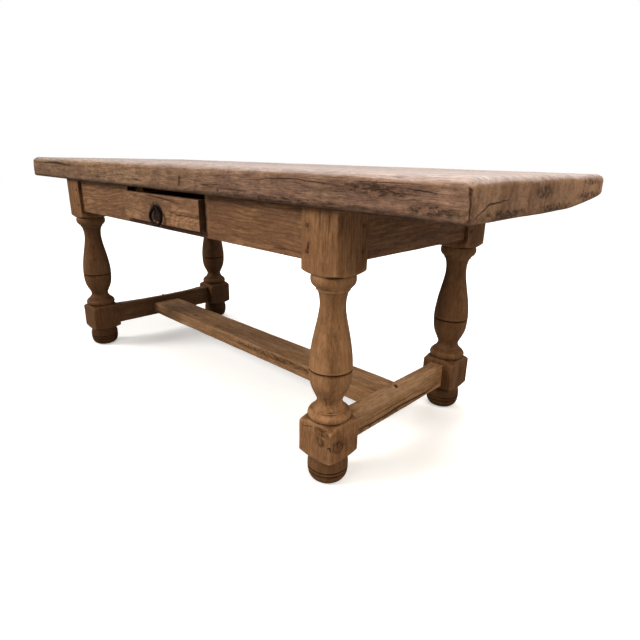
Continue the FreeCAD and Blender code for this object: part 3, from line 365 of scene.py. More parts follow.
oakTones = {
    # light and dark wood, its patches, the dark of pores and cracks, and the pale of rubbed arrises
    "top": {
        "light": (0.388, 0.338, 0.318), "dark": (0.236, 0.192, 0.172), "patch": (0.300, 0.242, 0.228),
        "deep": (0.065, 0.037, 0.026), "worn": (0.508, 0.415, 0.370), "contrast": 0.30, "rightLift": 1.08,
    },
    "edge": {
        "light": (0.293, 0.170, 0.090), "dark": (0.119, 0.063, 0.031), "patch": (0.138, 0.070, 0.045),
        "deep": (0.027, 0.011, 0.005), "worn": (0.315, 0.189, 0.105),
        "roughness": (0.5, 0.75), "contrast": 0.62,
    },
    "edgeRight": {
        "light": (0.267, 0.154, 0.094), "dark": (0.095, 0.049, 0.030), "patch": (0.131, 0.068, 0.047),
        "deep": (0.025, 0.011, 0.006), "worn": (0.323, 0.194, 0.116), "contrast": 0.62,
    },
    "endGrain": {
        "light": (0.211, 0.120, 0.067), "patch": (0.122, 0.060, 0.031), "deep": (0.054, 0.023, 0.011),
        "share": 0.75, "farLift": 1.75,
    },
    # the drawer front's end faces, painted near black as shade
    "shadedDrawerEnd": {
        "light": (0.052, 0.020, 0.011), "patch": (0.030, 0.011, 0.006), "deep": (0.018, 0.006, 0.004),
        "share": 0.95, "farLift": 1.0,
    },
    "stretcher": {
        "light": (0.376, 0.221, 0.114), "dark": (0.194, 0.097, 0.042), "patch": (0.238, 0.118, 0.052),
        "deep": (0.040, 0.014, 0.005), "worn": (0.480, 0.310, 0.180),
        "roughness": (0.42, 0.66), "contrast": 0.4, "gloss": 0.06,
    },
    "leg": {
        "light": (0.312, 0.160, 0.074), "dark": (0.132, 0.062, 0.026), "patch": (0.175, 0.084, 0.038),
        "deep": (0.034, 0.013, 0.005), "worn": (0.392, 0.214, 0.104),
        "roughness": (0.42, 0.66), "contrast": 0.36, "gloss": 0.04,
    },
    "apron": {
        "light": (0.285, 0.142, 0.063), "dark": (0.110, 0.050, 0.022), "patch": (0.148, 0.068, 0.032),
        "deep": (0.033, 0.012, 0.005), "worn": (0.312, 0.170, 0.081),
        "roughness": (0.45, 0.70), "contrast": 0.38,
    },
    "drawerFront": {
        "light": (0.334, 0.174, 0.085), "dark": (0.124, 0.059, 0.027), "patch": (0.187, 0.089, 0.042),
        "deep": (0.036, 0.014, 0.006), "worn": (0.352, 0.198, 0.104),
        "roughness": (0.45, 0.68), "contrast": 0.45,
    },
    # old inner oak, dark partly from age and partly as painted shade in the gap above the drawer
    "inner": {
        "light": (0.102, 0.066, 0.037), "dark": (0.066, 0.040, 0.021), "patch": (0.075, 0.045, 0.025),
        "deep": (0.018, 0.009, 0.005), "worn": (0.114, 0.074, 0.045),
        "roughness": (0.65, 0.85), "contrast": 0.4,
    },
    # the drawer sides and kickers, painted near black as shade in the gaps round the drawer
    "shadedDrawerSide": {
        "light": (0.043, 0.024, 0.012), "dark": (0.028, 0.014, 0.007), "patch": (0.032, 0.016, 0.008),
        "deep": (0.008, 0.003, 0.002), "worn": (0.048, 0.027, 0.015),
        "roughness": (0.65, 0.85), "contrast": 0.4,
    },
    "peg": {
        "light": (0.13, 0.055, 0.026), "dark": (0.075, 0.030, 0.014), "patch": (0.09, 0.038, 0.018),
        "deep": (0.03, 0.011, 0.005), "worn": (0.14, 0.08, 0.045),
        "roughness": (0.5, 0.75), "contrast": 0.4,
    },
}
grainTurns = {"X": (0.0, 0.0, 0.0), "Y": (0.0, 0.0, -math.pi / 2), "Z": (0.0, math.pi / 2, 0.0)}


def newMaterial(name):
    material = bpy.data.materials.new(name)
    material.use_nodes = True
    return material, material.node_tree, material.node_tree.nodes["Principled BSDF"]


def attribute(tree, name):
    return addNode(tree, "Attribute", out="Fac", attribute_name=name, attribute_type="GEOMETRY")


def woodColour(tree, tones, grain, age, figure):
    given = {label: grain[label] for label in grainMasks}
    given.update({label: age[label] for label in ageMasks})
    given.update({label: tones[label.lower()] for label in woodTones})
    given.update({"Figure": figure * 0.6, "Contrast": tones["contrast"]})
    return useGroup(tree, oakColour, given)["Colour"]


def flaws(tree, place, cracks, knots, patches):
    # all pitted patches, cracks and knots of a face, joined into a faint and a dark mask
    uneven = useGroup(tree, wobble, {"Position": place})["Position"] if cracks else place
    steps = [(pitted, place, {"Centre": centre, "Reach": reach, "Fineness": fineness})
             for centre, reach, fineness in patches]
    for points, flatten, width in cracks:
        # a crack narrows at its tips, a long one more
        widths = [width] * len(points)
        widths[0] = widths[-1] = width * (0.25 if len(points) > 2 else 0.7)
        for start, end, startWidth, endWidth in zip(points, points[1:], widths, widths[1:]):
            steps.append((crack, uneven, {
                "From": start, "To": end, "Flatten": flatten,
                "Width at start": startWidth, "Width at end": endWidth,
            }))
    steps += [(knot, place, {"Centre": centre, "Radius": radius}) for centre, radius in knots]
    marks = {}
    for group, spot, settings in steps:
        marks = useGroup(tree, group, {"Position": spot, **marks, **settings})
    return marks


def oakMaterial(name, tone, axis, heart, rings, tilt, wander, figure, cracks=(), knots=(), patches=(),
                relief=1.0, shades=(), upperTone=None, bleached=1.0, drift=None, endTone=None,
                edgeFound=0.0):
    # heart is where the tree's middle ran, and axis the way of the grain
    tones = oakTones[tone]
    material, tree, shader = newMaterial(name)
    place = addNode(tree, "TexCoord", out="Object")
    normal = addNode(tree, "NewGeometry", out="Normal")
    turned = addNode(tree, "Mapping", {"Vector": place - heart, "Rotation": grainTurns[axis]})
    if edgeFound:
        edge = useGroup(tree, foundEdge, {"Radius": edgeFound})["Edge"]
    else:
        edge = attribute(tree, "edge")
    grain = useGroup(tree, oakGrain, {
        "Position": turned, "Rings per metre": rings, "Tilt": tilt, "Wander": wander,
    })
    age = useGroup(tree, oldAge, {"Position": turned, "Edge": edge, "Hollow": attribute(tree, "hollow")})
    colour = woodColour(tree, tones, grain, age, figure)
    if drift:
        # the face turns from one tone to another along X
        other, start, end = drift
        along = split(place)[0] + grain["Cloud"] * 0.5
        colour = tint(between(along, start, end), colour,
                      woodColour(tree, oakTones[other], grain, age, figure))
    if endTone:
        ends = oakTones[endTone]
        colour = useGroup(tree, endGrain, {
            "Position": place, "Normal": normal, "Mottle": age["Mottle"], "Colour": colour,
            "Light": ends["light"], "Patch": ends["patch"], "Deep": ends["deep"],
            "Share": ends["share"], "Far lift": ends["farLift"],
        })["Colour"]
    if upperTone:
        above = oakTones[upperTone]
        colour = useGroup(tree, bleachedFace, {
            "Position": place, "Normal": normal, "Cloud": grain["Cloud"], "Colour": colour,
            "Above": woodColour(tree, above, grain, age, figure * 0.6),
            "Bleached": bleached, "Right lift": above["rightLift"],
        })["Colour"]
    height = grain["Relief"]
    marks = flaws(tree, place, cracks, knots, patches)
    if marks:
        colour = tint(marks["Faint"], colour, tones["dark"])
        colour = tint(marks["Dark"], colour, tones["deep"])
        height = height - marks["Dark"] * 4.0
    for low, high, lowShare, highShare in shades:
        colour = useGroup(tree, heightShade, {
            "Position": place, "Cloud": grain["Cloud"], "Colour": colour, "Deep": tones["deep"],
            "Low": low, "High": high, "Share at low": lowShare, "Share at high": highShare,
        })["Colour"]
    smooth, rough = tones["roughness"]
    feed(shader, {
        "Base Color": colour,
        "Roughness": between(grain["Fibres"], 0.0, 1.0, rough, smooth),
        "Normal": addNode(tree, "Bump", {"Height": height, "Strength": 0.7, "Distance": 0.9 * mm * relief}),
        "Specular IOR Level": tones.get("gloss", 0.12),
    })
    return material


def ironMaterial(name, base, rubbed, roughness, pitting):
    # forged or drawn metal: its colour, its colour where rubbed, and how pitted it is
    material, tree, shader = newMaterial(name)
    skin = useGroup(tree, ironSkin, {
        "Position": addNode(tree, "TexCoord", out="Object"),
        "Edge": useGroup(tree, foundEdge, {"Radius": 1.2 * mm})["Edge"],
        "Base": base, "Rubbed": rubbed, "Roughness": roughness,
    })
    bump = addNode(tree, "Bump", {"Height": skin["Relief"], "Strength": 0.7, "Distance": 0.6 * mm * pitting})
    feed(shader, {
        "Base Color": skin["Colour"], "Roughness": skin["Roughness"], "Normal": bump,
        "Metallic": 0.6, "Specular IOR Level": 0.1,
    })
    return material


# Meshes

def pointValues(mesh, name):
    values = np.empty(len(mesh.vertices) * 3)
    mesh.vertices.foreach_get(name, values)
    return values.reshape(-1, 3)


def markWear(mesh, reach=3, gain=9.0, grimeAndShadeBelow=None):
    # edge is high on convex arrises and hollow in the quirks, both spread a little; hollow later darkens the
    # wood as grime and painted shade
    count = len(mesh.vertices)
    places = pointValues(mesh, "co")
    pairs = np.empty(len(mesh.edges) * 2, dtype=np.int64)
    mesh.edges.foreach_get("vertices", pairs)
    first, second = pairs.reshape(-1, 2).T
    valence = np.bincount(pairs, minlength=count).clip(1)

    def average(toFirst, toSecond):
        # the mean of what the edges of each point bring it
        total = np.zeros((count, *toFirst.shape[1:]))
        np.add.at(total, first, toFirst)
        np.add.at(total, second, toSecond)
        return (total.T / valence).T

    length = np.linalg.norm(places[first] - places[second], axis=1)
    spacing = average(length, length).clip(1e-6)
    gap = places - average(places[second], places[first])
    bend = (gap * pointValues(mesh, "normal")).sum(axis=1) / spacing
    for _ in range(reach):
        bend = 0.4 * bend + 0.6 * average(bend[second], bend[first])
    edge = np.clip(bend * gain, 0.0, 1.0)
    hollow = np.clip(-bend * gain, 0.0, 1.0)
    if grimeAndShadeBelow:
        # convex arrises under this height hold dirt and painted shade instead of shine
        under = places[:, 2] < grimeAndShadeBelow
        hollow = np.where(under, np.maximum(hollow, edge * 0.75), hollow)
        edge = np.where(under, 0.0, edge)
    for name, values in (("edge", edge), ("hollow", hollow)):
        layer = mesh.attributes.new(name, "FLOAT", "POINT")
        layer.data.foreach_set("value", values.astype(np.float32))


def layOn(mesh, name, amount):
    # adds wear, dirt or painted shade: amount(x, y, z) says how much
    layer = mesh.attributes[name].data
    values = np.empty(len(mesh.vertices), dtype=np.float32)
    layer.foreach_get("value", values)
    extra = np.array([amount(*place) for place in pointValues(mesh, "co")], dtype=np.float32)
    layer.foreach_set("value", np.maximum(values, extra))


def roughen(mesh, low, high, depth, pitch, seed):
    # moves each point inward by up to depth, and keeps it in the box from low to high
    shift = Vector((seed * 3.1, seed * 1.7, seed * 2.3))
    places = pointValues(mesh, "co")
    tones = [noise.fractal(Vector(place) / pitch + shift, 0.9, 2.0, 3) for place in places]
    inward = depth * np.clip(0.5 + 0.6 * np.array(tones), 0.0, 1.0)
    places -= pointValues(mesh, "normal") * inward[:, None]
    mesh.vertices.foreach_set("co", np.clip(places, low, high).ravel())
    mesh.update()


def newMesh(name, vertices, faces):
    mesh = bpy.data.meshes.new(name)
    mesh.from_pydata(vertices, [], faces)
    return mesh


def addObject(name, data):
    made = bpy.data.objects.new(name, data)
    bpy.context.scene.collection.objects.link(made)
    return made


def finishPiece(name, mesh, body, node, material, smoothAngle=None):
    piece = addObject(name, mesh)
    mesh.materials.append(material)
    mesh.shade_smooth()
    if smoothAngle:
        mesh.set_sharp_from_angle(angle=math.radians(smoothAngle))
    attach(piece, body)
    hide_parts(node)
    return piece


def limit(value, low=0.0, high=1.0):
    return min(high, max(low, value))


def ticks(low, high, spacing, roundLow, roundHigh, steps, extra=()):
    # places along one side of a board: close together over the rounded ends
    places = {low, high, *extra}
    for step in range(steps):
        share = 1.0 - math.tan(math.pi / 4 * step / steps)
        places.update((low + roundLow * share, high - roundHigh * share))
    start, end = low + roundLow, high - roundHigh
    count = max(1, round((end - start) / spacing))
    places.update(start + (end - start) * index / count for index in range(count + 1))
    ordered = sorted(places)
    line = ordered[:1]
    for place in ordered[1:]:
        if place - line[-1] > 0.15 * mm or place in extra:
            line.append(place)
    line[-1] = high
    return line


def cellBlock(name, grid, keep=None):
    # the skin of a block of cells; keep(x, y, z) says which cells are solid
    middles = [[(a + b) / 2 for a, b in zip(line, line[1:])] for line in grid]
    solid = np.zeros([len(line) + 2 for line in middles], dtype=bool)
    inside = solid[1:-1, 1:-1, 1:-1]
    inside[:] = True
    if keep:
        for i, j, k in np.ndindex(inside.shape):
            inside[i, j, k] = keep(middles[0][i], middles[1][j], middles[2][k])
    vertices, faces, known = [], [], {}

    def corner(i, j, k):
        if (i, j, k) not in known:
            known[i, j, k] = len(vertices)
            vertices.append((grid[0][i], grid[1][j], grid[2][k]))
        return known[i, j, k]

    for axis in range(3):
        u, v = (axis + 1) % 3, (axis + 2) % 3
        for side in (0, 1):
            beyond = np.roll(solid, -1 if side else 1, axis=axis)
            for cell in np.argwhere(solid & ~beyond) - 1:
                loop = []
                for du, dv in ((0, 0), (1, 0), (1, 1), (0, 1)):
                    at = cell.tolist()
                    at[axis] += side
                    at[u] += du
                    at[v] += dv
                    loop.append(corner(*at))
                faces.append(loop if side else loop[::-1])
    return newMesh(name, vertices, faces)


def roundArrises(mesh, low, high, radiusAt):
    # pulls the points near the arrises of the box low..high onto rounded ones
    for point in mesh.vertices:
        radius = radiusAt(point.co)
        inner = Vector([limit(point.co[i], low[i] + radius, high[i] - radius) for i in range(3)])
        away = point.co - inner
        if away.length > 1e-9:
            point.co = inner + away * (max(abs(part) for part in away) / away.length)


def board(name, node, body, material, settings, low, high, shape=None):
    # a plain board with softly worn arrises between two corners of a node's box
    radius, seed = settings["arris"], settings["seed"]
    grid = [ticks(low[i], high[i], settings["spacing"][i], radius, radius, 3) for i in range(3)]
    mesh = cellBlock(name, grid)

    def radiusAt(place):
        return radius * (0.75 + 0.5 * noise.noise(place * 14 + Vector((seed, seed, 0))))

    roundArrises(mesh, low, high, radiusAt)
    if shape:
        shape(mesh)
    roughen(mesh, low, high, settings["wave"], settings["pitch"], seed)
    markWear(mesh)
    return finishPiece(name, mesh, body, node, material)


# The top: three planks under one worn outline

topForm = {
    "upperArris": 20 * mm,
    "lowerArris": 9 * mm,
    "nearLowerArris": 4 * mm,
    "farLowerArris": 24 * mm,
    "arrisVary": 0.16,
    "facet": 5.5 * mm,
    # past fromX the lower arris grows along Y from the near radius to the far one
    "rightEnd": {"fromX": 900 * mm, "overX": 120 * mm, "fromY": -300 * mm, "overY": 660 * mm},
    "farCorner": {"lift": 22 * mm, "fromX": 930 * mm, "fromY": 100 * mm},
    "spacing": (7 * mm, 9 * mm, 7 * mm),
    "seamDrop": 0.9 * mm,
    "seamWidth": 2.5 * mm,
    "seamDepth": 3 * mm,
    "wave": 0.9 * mm,
    "pitch": 130 * mm,
    # how high dirt and painted shade climb the lower arris, with dull arrises under the next height,
    # how far out it starts, and the dirt's depth in the seams
    "dirtAndShadeHeight": 16 * mm,
    "grimeAndShadeHeight": 22 * mm,
    "outsideX": 1016 * mm,
    "outsideY": 352 * mm,
    "seamDirtDepth": 4 * mm,
}

# each crack has its points, how much each direction counts, and its width;
# each knot its centre and radius; each patch its centre, reach and fineness
onFront, onEnd, onCorner = (1.0, 0.15, 1.0), (0.15, 1.0, 1.0), (0.6, 0.6, 1.0)
topPlanks = {
    "front": {
        "heart": (0.33, -0.21, 0.60), "rings": 105.0, "seed": 4.0, "bleached": 1.0,
        "cracks": [
            ([(-0.9, -0.371, 0.759), (-0.76, -0.371, 0.761), (-0.61, -0.371, 0.7545)], onFront, 0.0062),
            ([(0.1651, -0.3725, 0.7463), (0.16, -0.3725, 0.7202)], onFront, 0.0052),
            ([(0.46, -0.3725, 0.75), (0.61, -0.372, 0.7595), (0.77, -0.3725, 0.7515)], onFront, 0.0014),
            ([(0.8321, -0.3725, 0.746), (0.8659, -0.3715, 0.751), (0.9036, -0.3725, 0.7422)],
             onFront, 0.0018),
            ([(0.9024, -0.3705, 0.757), (0.9378, -0.3715, 0.7525), (0.9713, -0.3715, 0.751)],
             onFront, 0.0017),
            ([(1.011, -0.362, 0.774), (1.03, -0.368, 0.76), (1.0335, -0.3675, 0.706)], onCorner, 0.0021),
            ([(1.035, -0.36, 0.71), (1.0356, -0.3057, 0.7336), (1.0356, -0.2258, 0.7391)], onEnd, 0.0022),
        ],
        "knots": [
            ((0.974, -0.3722, 0.7274), 0.0036),
            ((0.3432, -0.3722, 0.7192), 0.006),
            ((-0.4166, -0.3722, 0.7211), 0.006),
        ],
        "patches": [
            ((0.84, -0.37, 0.749), (0.11, 0.03, 0.016), (45.0, 150.0, 150.0)),
            ((0.97, -0.3725, 0.72), (0.075, 0.03, 0.012), (60.0, 120.0, 130.0)),
            ((0.6, -0.3725, 0.712), (0.34, 0.03, 0.009), (30.0, 100.0, 120.0)),
            ((1.0356, -0.24, 0.713), (0.03, 0.12, 0.012), (90.0, 60.0, 110.0)),
        ],
    },
    "middle": {
        "heart": (-0.4, 0.03, 0.55), "rings": 95.0, "seed": 7.0, "bleached": 0.84,
        "cracks": [([(1.0356, -0.05, 0.74), (1.0356, -0.047, 0.712)], onEnd, 0.0018)],
        "knots": [((1.0355, 0.1112, 0.718), 0.005)],
        "patches": [
            ((1.0356, 0.01, 0.713), (0.03, 0.13, 0.01), (90.0, 60.0, 110.0)),
            ((1.0356, -0.06, 0.748), (0.03, 0.06, 0.018), (90.0, 80.0, 90.0)),
        ],
    },
    "rear": {
        "heart": (0.3, 0.27, 0.58), "rings": 100.0, "seed": 11.0, "bleached": 0.95,
        "cracks": [([(1.03, 0.2984, 0.7727), (1.0356, 0.33, 0.743)], onEnd, 0.002)],
        "knots": [((1.0355, 0.1972, 0.7416), 0.005)],
        "patches": [
            ((1.0356, 0.25, 0.728), (0.03, 0.14, 0.013), (90.0, 70.0, 110.0)),
            ((1.0356, 0.26, 0.763), (0.03, 0.07, 0.01), (90.0, 80.0, 110.0)),
        ],
    },
}


def topPlank(key, plank):
    name, node = "topPlank" + key.capitalize(), "top_plank_" + key
    low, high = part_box(node)
    wholeLow, wholeHigh = Vector(cadBox[0]), Vector(cadBox[1])
    wholeLow.z = low.z
    spacing, seam = topForm["spacing"], topForm["seamWidth"]
    widest = topForm["upperArris"] * (1 + topForm["arrisVary"])
    lowest = topForm["farLowerArris"] * (1 + topForm["arrisVary"])
    front, rear = key == "front", key == "rear"
    # the long edges that meet another plank, and the way from each into this one
    seams = [] if front else [(low.y, 1)]
    seams += [] if rear else [(high.y, -1)]
    extra = [edge + way * seam * share for edge, way in seams for share in (0.35, 0.7, 1.0)]
    mesh = cellBlock(name, [
        ticks(low.x, high.x, spacing[0], widest, lowest, 7),
        ticks(low.y, high.y, spacing[1], widest * front, lowest * rear, 7, extra),
        ticks(low.z, high.z, spacing[2], widest * 0.6, widest, 7),
    ])
    right, corner = topForm["rightEnd"], topForm["farCorner"]
    nearBelow, farBelow = topForm["nearLowerArris"], topForm["farLowerArris"]

    def radiusAt(place):
        share = (place.z - low.z) / (high.z - low.z)
        below = topForm["lowerArris"]
        if place.x > right["fromX"]:
            far = limit((place.y - right["fromY"]) / right["overY"]) ** 2
            ended = limit((place.x - right["fromX"]) / right["overX"])
            below += (nearBelow + (farBelow - nearBelow) * far - below) * ended
        plain = below + (topForm["upperArris"] - below) * share
        tone = noise.fractal(Vector((place.x * 3.0, place.y * 4.0, share * 1.5)), 0.8, 2.0, 3)
        return plain * (1 + topForm["arrisVary"] * limit(tone * 1.6, -1.0))

    roundArrises(mesh, wholeLow, wholeHigh, radiusAt)
    cut = (wholeHigh.x - wholeLow.y) / math.sqrt(2) - topForm["facet"]
    for point in mesh.vertices:
        # the far lower corner is chewed away, and the planks drop a little at their seams
        outward = limit((point.co.x - corner["fromX"]) / (wholeHigh.x - corner["fromX"]))
        along = limit((point.co.y - corner["fromY"]) / (wholeHigh.y - corner["fromY"]))
        share = (high.z - point.co.z) / (high.z - low.z)
        point.co.z += corner["lift"] * outward**1.5 * along**1.4 * share**1.5
        for edge, _ in seams:
            away = abs(point.co.y - edge)
            if away < seam and point.co.z > high.z - topForm["seamDepth"]:
                point.co.z -= topForm["seamDrop"] * (1 - away / seam)
        # the near corner is knocked flat
        over = (point.co.x - point.co.y) / math.sqrt(2) - cut
        if over > 0:
            point.co.x -= over / math.sqrt(2)
            point.co.y += over / math.sqrt(2)
    roughen(mesh, low, high, topForm["wave"], topForm["pitch"], plank["seed"])
    markWear(mesh, reach=2, gain=5.0, grimeAndShadeBelow=low.z + topForm["grimeAndShadeHeight"])

    def lowerArris(x, y, z):
        # hands and damp have blackened the lower arris all round, darkened further with painted shade
        outside = abs(y) > topForm["outsideY"] or abs(x) > topForm["outsideX"]
        return limit(1.2 - 1.2 * (z - low.z) / topForm["dirtAndShadeHeight"]) if outside else 0.0

    def seamDirt(x, y, z):
        # crumbs and wax in the seams between planks
        away = min(abs(y - edge) for edge, _ in seams)
        return 0.9 * max(0.0, 1 - away / seam) if z > high.z - topForm["seamDirtDepth"] else 0.0

    layOn(mesh, "hollow", lowerArris)
    layOn(mesh, "hollow", seamDirt)
    material = oakMaterial(
        "oak of the top, " + key, "edge", "X", plank["heart"], plank["rings"], 0.03, 0.03, 0.6,
        plank["cracks"], plank["knots"], plank["patches"], 1.5, upperTone="top",
        bleached=plank["bleached"], drift=("edgeRight", -0.1, 1.0), endTone="endGrain",
    )
    finishPiece(name, mesh, "root", node, material)


for key, plank in topPlanks.items():
    topPlank(key, plank)
print("top planks laid")


# The legs: rings of points from the floor up, square on the blocks and round between

legForm = {
    "centre": (678 * mm, 294 * mm),
    "half": 55 * mm,
    "blockArris": 4.0 * mm,
    "faceSteps": 16,
    "arrisSteps": 4,
    "runStep": 3.2 * mm,
    "blockStep": 7 * mm,
    # from the reach of a block's corner inward, how far its turned shoulder climbs to the round
    "cornerReach": 77.8 * mm,
    "shoulderReach": 22.8 * mm,
    "wave": 0.7 * mm,
    "pitch": 50 * mm,
    # darker between two heights: the foot towards the floor, and, as painted shade, the turning of a leg
    # that stands in the shade
    "footShade": (66 * mm, 80 * mm, 0.43, 1.0),
    "paintedTurningShade": (500 * mm, 600 * mm),
    # painted shade lies round the aprons' joints, above this height
    "apronJointShade": {"insideX": 624.5 * mm, "insideY": 240.5 * mm, "outsideX": 714 * mm,
             "outsideY": 331 * mm, "above": 572 * mm},
    # the blocks: their flat heights, and how far their turned shoulders rise to the round
    "blocks": {
        "lower": {"bottom": 82.0, "top": 169.5, "under": 7.0, "over": 10.5},
        "upper": {"bottom": 559.0, "top": 702.0, "under": 7.5, "over": 0.0},
    },
    # the turning, bottom to top: height and radius in millimetres. Each run starts at the point
    # where the one before it ends, with a sharp line between them.
    "foot": [
        [(0, 31), (1.5, 35.5), (5, 42.4), (10, 46.8), (16, 50), (22, 52), (29, 53)],
        [(30.2, 49.6), (31.4, 49.6), (32.6, 53.2)],
        [(36, 53.8), (39.4, 53.6)],
        [(40.5, 50), (41.7, 50), (42.8, 53.8)],
        [(48, 54), (56, 53.2), (64, 51.4), (70, 49.2), (75, 46.5)],
    ],
    "shaft": [
        [(180, 49.5), (182, 52.2), (185.5, 54.8), (191, 56.2), (196, 55.6), (200.5, 53.2),
         (204.5, 49.6), (207.5, 45.8)],
        [(208.2, 43)],
        [(213, 40), (218, 36.4), (224, 33.7), (229, 33), (235, 34.5), (242, 37.6), (250, 41.4),
         (259, 45.6), (268, 49), (278, 51.6), (289, 53.3), (300, 54.2), (312.6, 54.5)],
        [(313.8, 50.4), (315.6, 50.2), (317.2, 54.8)],
        [(328, 54.6), (340, 53.8), (358, 51.8), (376, 49.2), (394, 45.9), (412, 42.2),
         (430, 38.4), (446, 35.4), (460, 33.3), (474, 32.2), (486, 32.5), (497, 33.9),
         (504, 35.5), (509, 37), (512.6, 38.4)],
        [(513.4, 40.8)],
        [(517, 42), (520.6, 42.6)],
        [(521.4, 45.8)],
        [(525, 49.4), (529, 52.2), (534, 54.1), (540, 54.7), (546, 54), (550, 52.4), (551.5, 50.6)],
    ],
}


def smoothRun(points, step):
    # a smooth line through the points of one run
    heights = [height * mm for height, _ in points]
    radii = [radius * mm for _, radius in points]
    last = len(points) - 1
    slopes = []
    for index in range(last + 1):
        before, after = max(index - 1, 0), min(index + 1, last)
        slopes.append((radii[after] - radii[before]) / (heights[after] - heights[before]))
    line = []
    for index in range(last):
        rise = heights[index + 1] - heights[index]
        pieces = max(1, round(rise / step))
        for piece in range(pieces):
            t = piece / pieces
            radius = (
                (2 * t**3 - 3 * t**2 + 1) * radii[index]
                + (t**3 - 2 * t**2 + t) * rise * slopes[index]
                + (3 * t**2 - 2 * t**3) * radii[index + 1]
                + (t**3 - t**2) * rise * slopes[index + 1]
            )
            line.append((heights[index] + rise * t, radius))
    line.append((heights[last], radii[last]))
    return line


def squarePoints(half, arris, steps, arrisSteps):
    # points round a square with rounded corners, the same number on every side
    points = []
    flat = half - arris
    for quarter in range(4):
        turn = Matrix.Rotation(quarter * math.pi / 2, 2)
        for index in range(steps):
            eased = -math.cos(index / steps * math.pi)
            points.append(turn @ Vector((half, eased * flat)))
        for index in range(arrisSteps):
            angle = math.pi / 2 * index / arrisSteps
            points.append(turn @ Vector((flat + arris * math.cos(angle), flat + arris * math.sin(angle))))
    return points


def legMesh(name, node, seed):
    low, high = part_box(node)
    half, arris = legForm["half"], legForm["blockArris"] * 0.7
    unit = squarePoints(1.0, legForm["blockArris"] / half, legForm["faceSteps"], legForm["arrisSteps"])
    rings = []

    def roundRings(runs):
        start = []
        for run in runs:
            for height, radius in smoothRun(start + run, legForm["runStep"]):
                rings.append([(*(point.normalized() * radius), height) for point in unit])
            start = run[-1:]

    def squareRing(height, inset, rise):
        # rise lifts or drops the ring towards the round, so the square's shoulders look turned
        spots = [point * (half - inset) for point in unit]
        shares = [limit((legForm["cornerReach"] - spot.length) / legForm["shoulderReach"]) for spot in spots]
        rings.append([(spot.x, spot.y, height + rise * share) for spot, share in zip(spots, shares)])

    def block(form):
        bottom, top = form["bottom"] * mm, form["top"] * mm
        under, over = -form["under"] * mm, form["over"] * mm
        for share in (0.0, 0.35, 1.0):
            squareRing(bottom + arris * share, arris * (1 - share) ** 2, under)
        count = max(3, round((top - bottom) / legForm["blockStep"]))
        for index in range(1, count):
            part = index / count
            rise = under * (1 - part) ** 3 + over * part**3
            squareRing(bottom + arris + (top - bottom - 2 * arris) * part, 0.0, rise)
        for share in (1.0, 0.35, 0.0):
            squareRing(top - arris * share, arris * (1 - share) ** 2, over)

    roundRings(legForm["foot"])
    block(legForm["blocks"]["lower"])
    roundRings(legForm["shaft"])
    block(legForm["blocks"]["upper"])
    vertices = [point for ring in rings for point in ring]
    size = len(unit)
    steps = [(index, (index + 1) % size) for index in range(size)]
    faces = []
    for base in range(0, size * (len(rings) - 1), size):
        faces += [(base + at, base + after, base + size + after, base + size + at) for at, after in steps]
    for base, ring, way in ((0, rings[0], -1), (size * (len(rings) - 1), rings[-1], 1)):
        faces += [(len(vertices), base + at, base + after)[::way] for at, after in steps]
        vertices.append((0.0, 0.0, ring[0][2]))
    mesh = newMesh(name, vertices, faces)
    centreX, centreY = legForm["centre"]
    mesh.transform(Matrix.Translation((math.copysign(centreX, low.x), math.copysign(centreY, low.y), 0.0)))
    mesh.validate()
    roughen(mesh, low, high, legForm["wave"], legForm["pitch"], seed)
    markWear(mesh, reach=1, gain=6.0)
    apronJointShade = legForm["apronJointShade"]

    def corner(x, y, z):
        # painted shade where the aprons meet the upper block
        x, y = abs(x), abs(y)
        beside = x < apronJointShade["insideX"] and y > apronJointShade["outsideY"] or y < apronJointShade["insideY"] and x > apronJointShade["outsideX"]
        return 0.85 if beside and z > apronJointShade["above"] else 0.0

    layOn(mesh, "hollow", corner)
    return mesh


# each leg's shade is the share of its tone its turning keeps under painted shade; 1.0 leaves it unshaded
legs = {
    "FrontLeft": {"node": "leg_front_left", "seed": 3.0, "heart": (-0.70, -0.36, 0.3), "shade": 0.38},
    "FrontRight": {
        "node": "leg_front_right", "seed": 5.0, "heart": (0.72, -0.36, 0.2), "shade": 1.0,
        "cracks": [
            ([(0.723, -0.349, 0.125), (0.7315, -0.348, 0.133), (0.7325, -0.344, 0.116)], onCorner, 0.0018),
            ([(0.733, -0.321, 0.138), (0.733, -0.3225, 0.119)], onEnd, 0.002),
            ([(0.693, -0.326, 0.224), (0.694, -0.33, 0.248)], onFront, 0.002),
            ([(0.6471, -0.349, 0.622), (0.644, -0.349, 0.607)], onFront, 0.0015),
            ([(0.64, -0.349, 0.158), (0.668, -0.349, 0.166)], onFront, 0.0014),
        ],
        "knots": [
            ((0.7061, -0.3485, 0.168), 0.007),
            ((0.6915, -0.349, 0.169), 0.004),
            ((0.718, -0.3485, 0.174), 0.005),
        ],
        "patches": [
            ((0.705, -0.349, 0.164), (0.03, 0.02, 0.018), (150.0, 150.0, 110.0)),
            ((0.7, -0.349, 0.135), (0.025, 0.02, 0.016), (150.0, 150.0, 80.0)),
            ((0.733, -0.315, 0.125), (0.02, 0.035, 0.03), (150.0, 150.0, 80.0)),
            ((0.6471, -0.349, 0.615), (0.009, 0.02, 0.02), (190.0, 190.0, 90.0)),
        ],
    },
    "RearLeft": {"node": "leg_rear_left", "seed": 8.0, "heart": (-0.71, 0.33, 0.3), "shade": 0.30},
    "RearRight": {
        "node": "leg_rear_right", "seed": 13.0, "heart": (0.74, 0.26, 0.4), "shade": 0.50,
        "cracks": [([(0.733, 0.27, 0.098), (0.733, 0.3, 0.15)], onEnd, 0.0014)],
    },
}

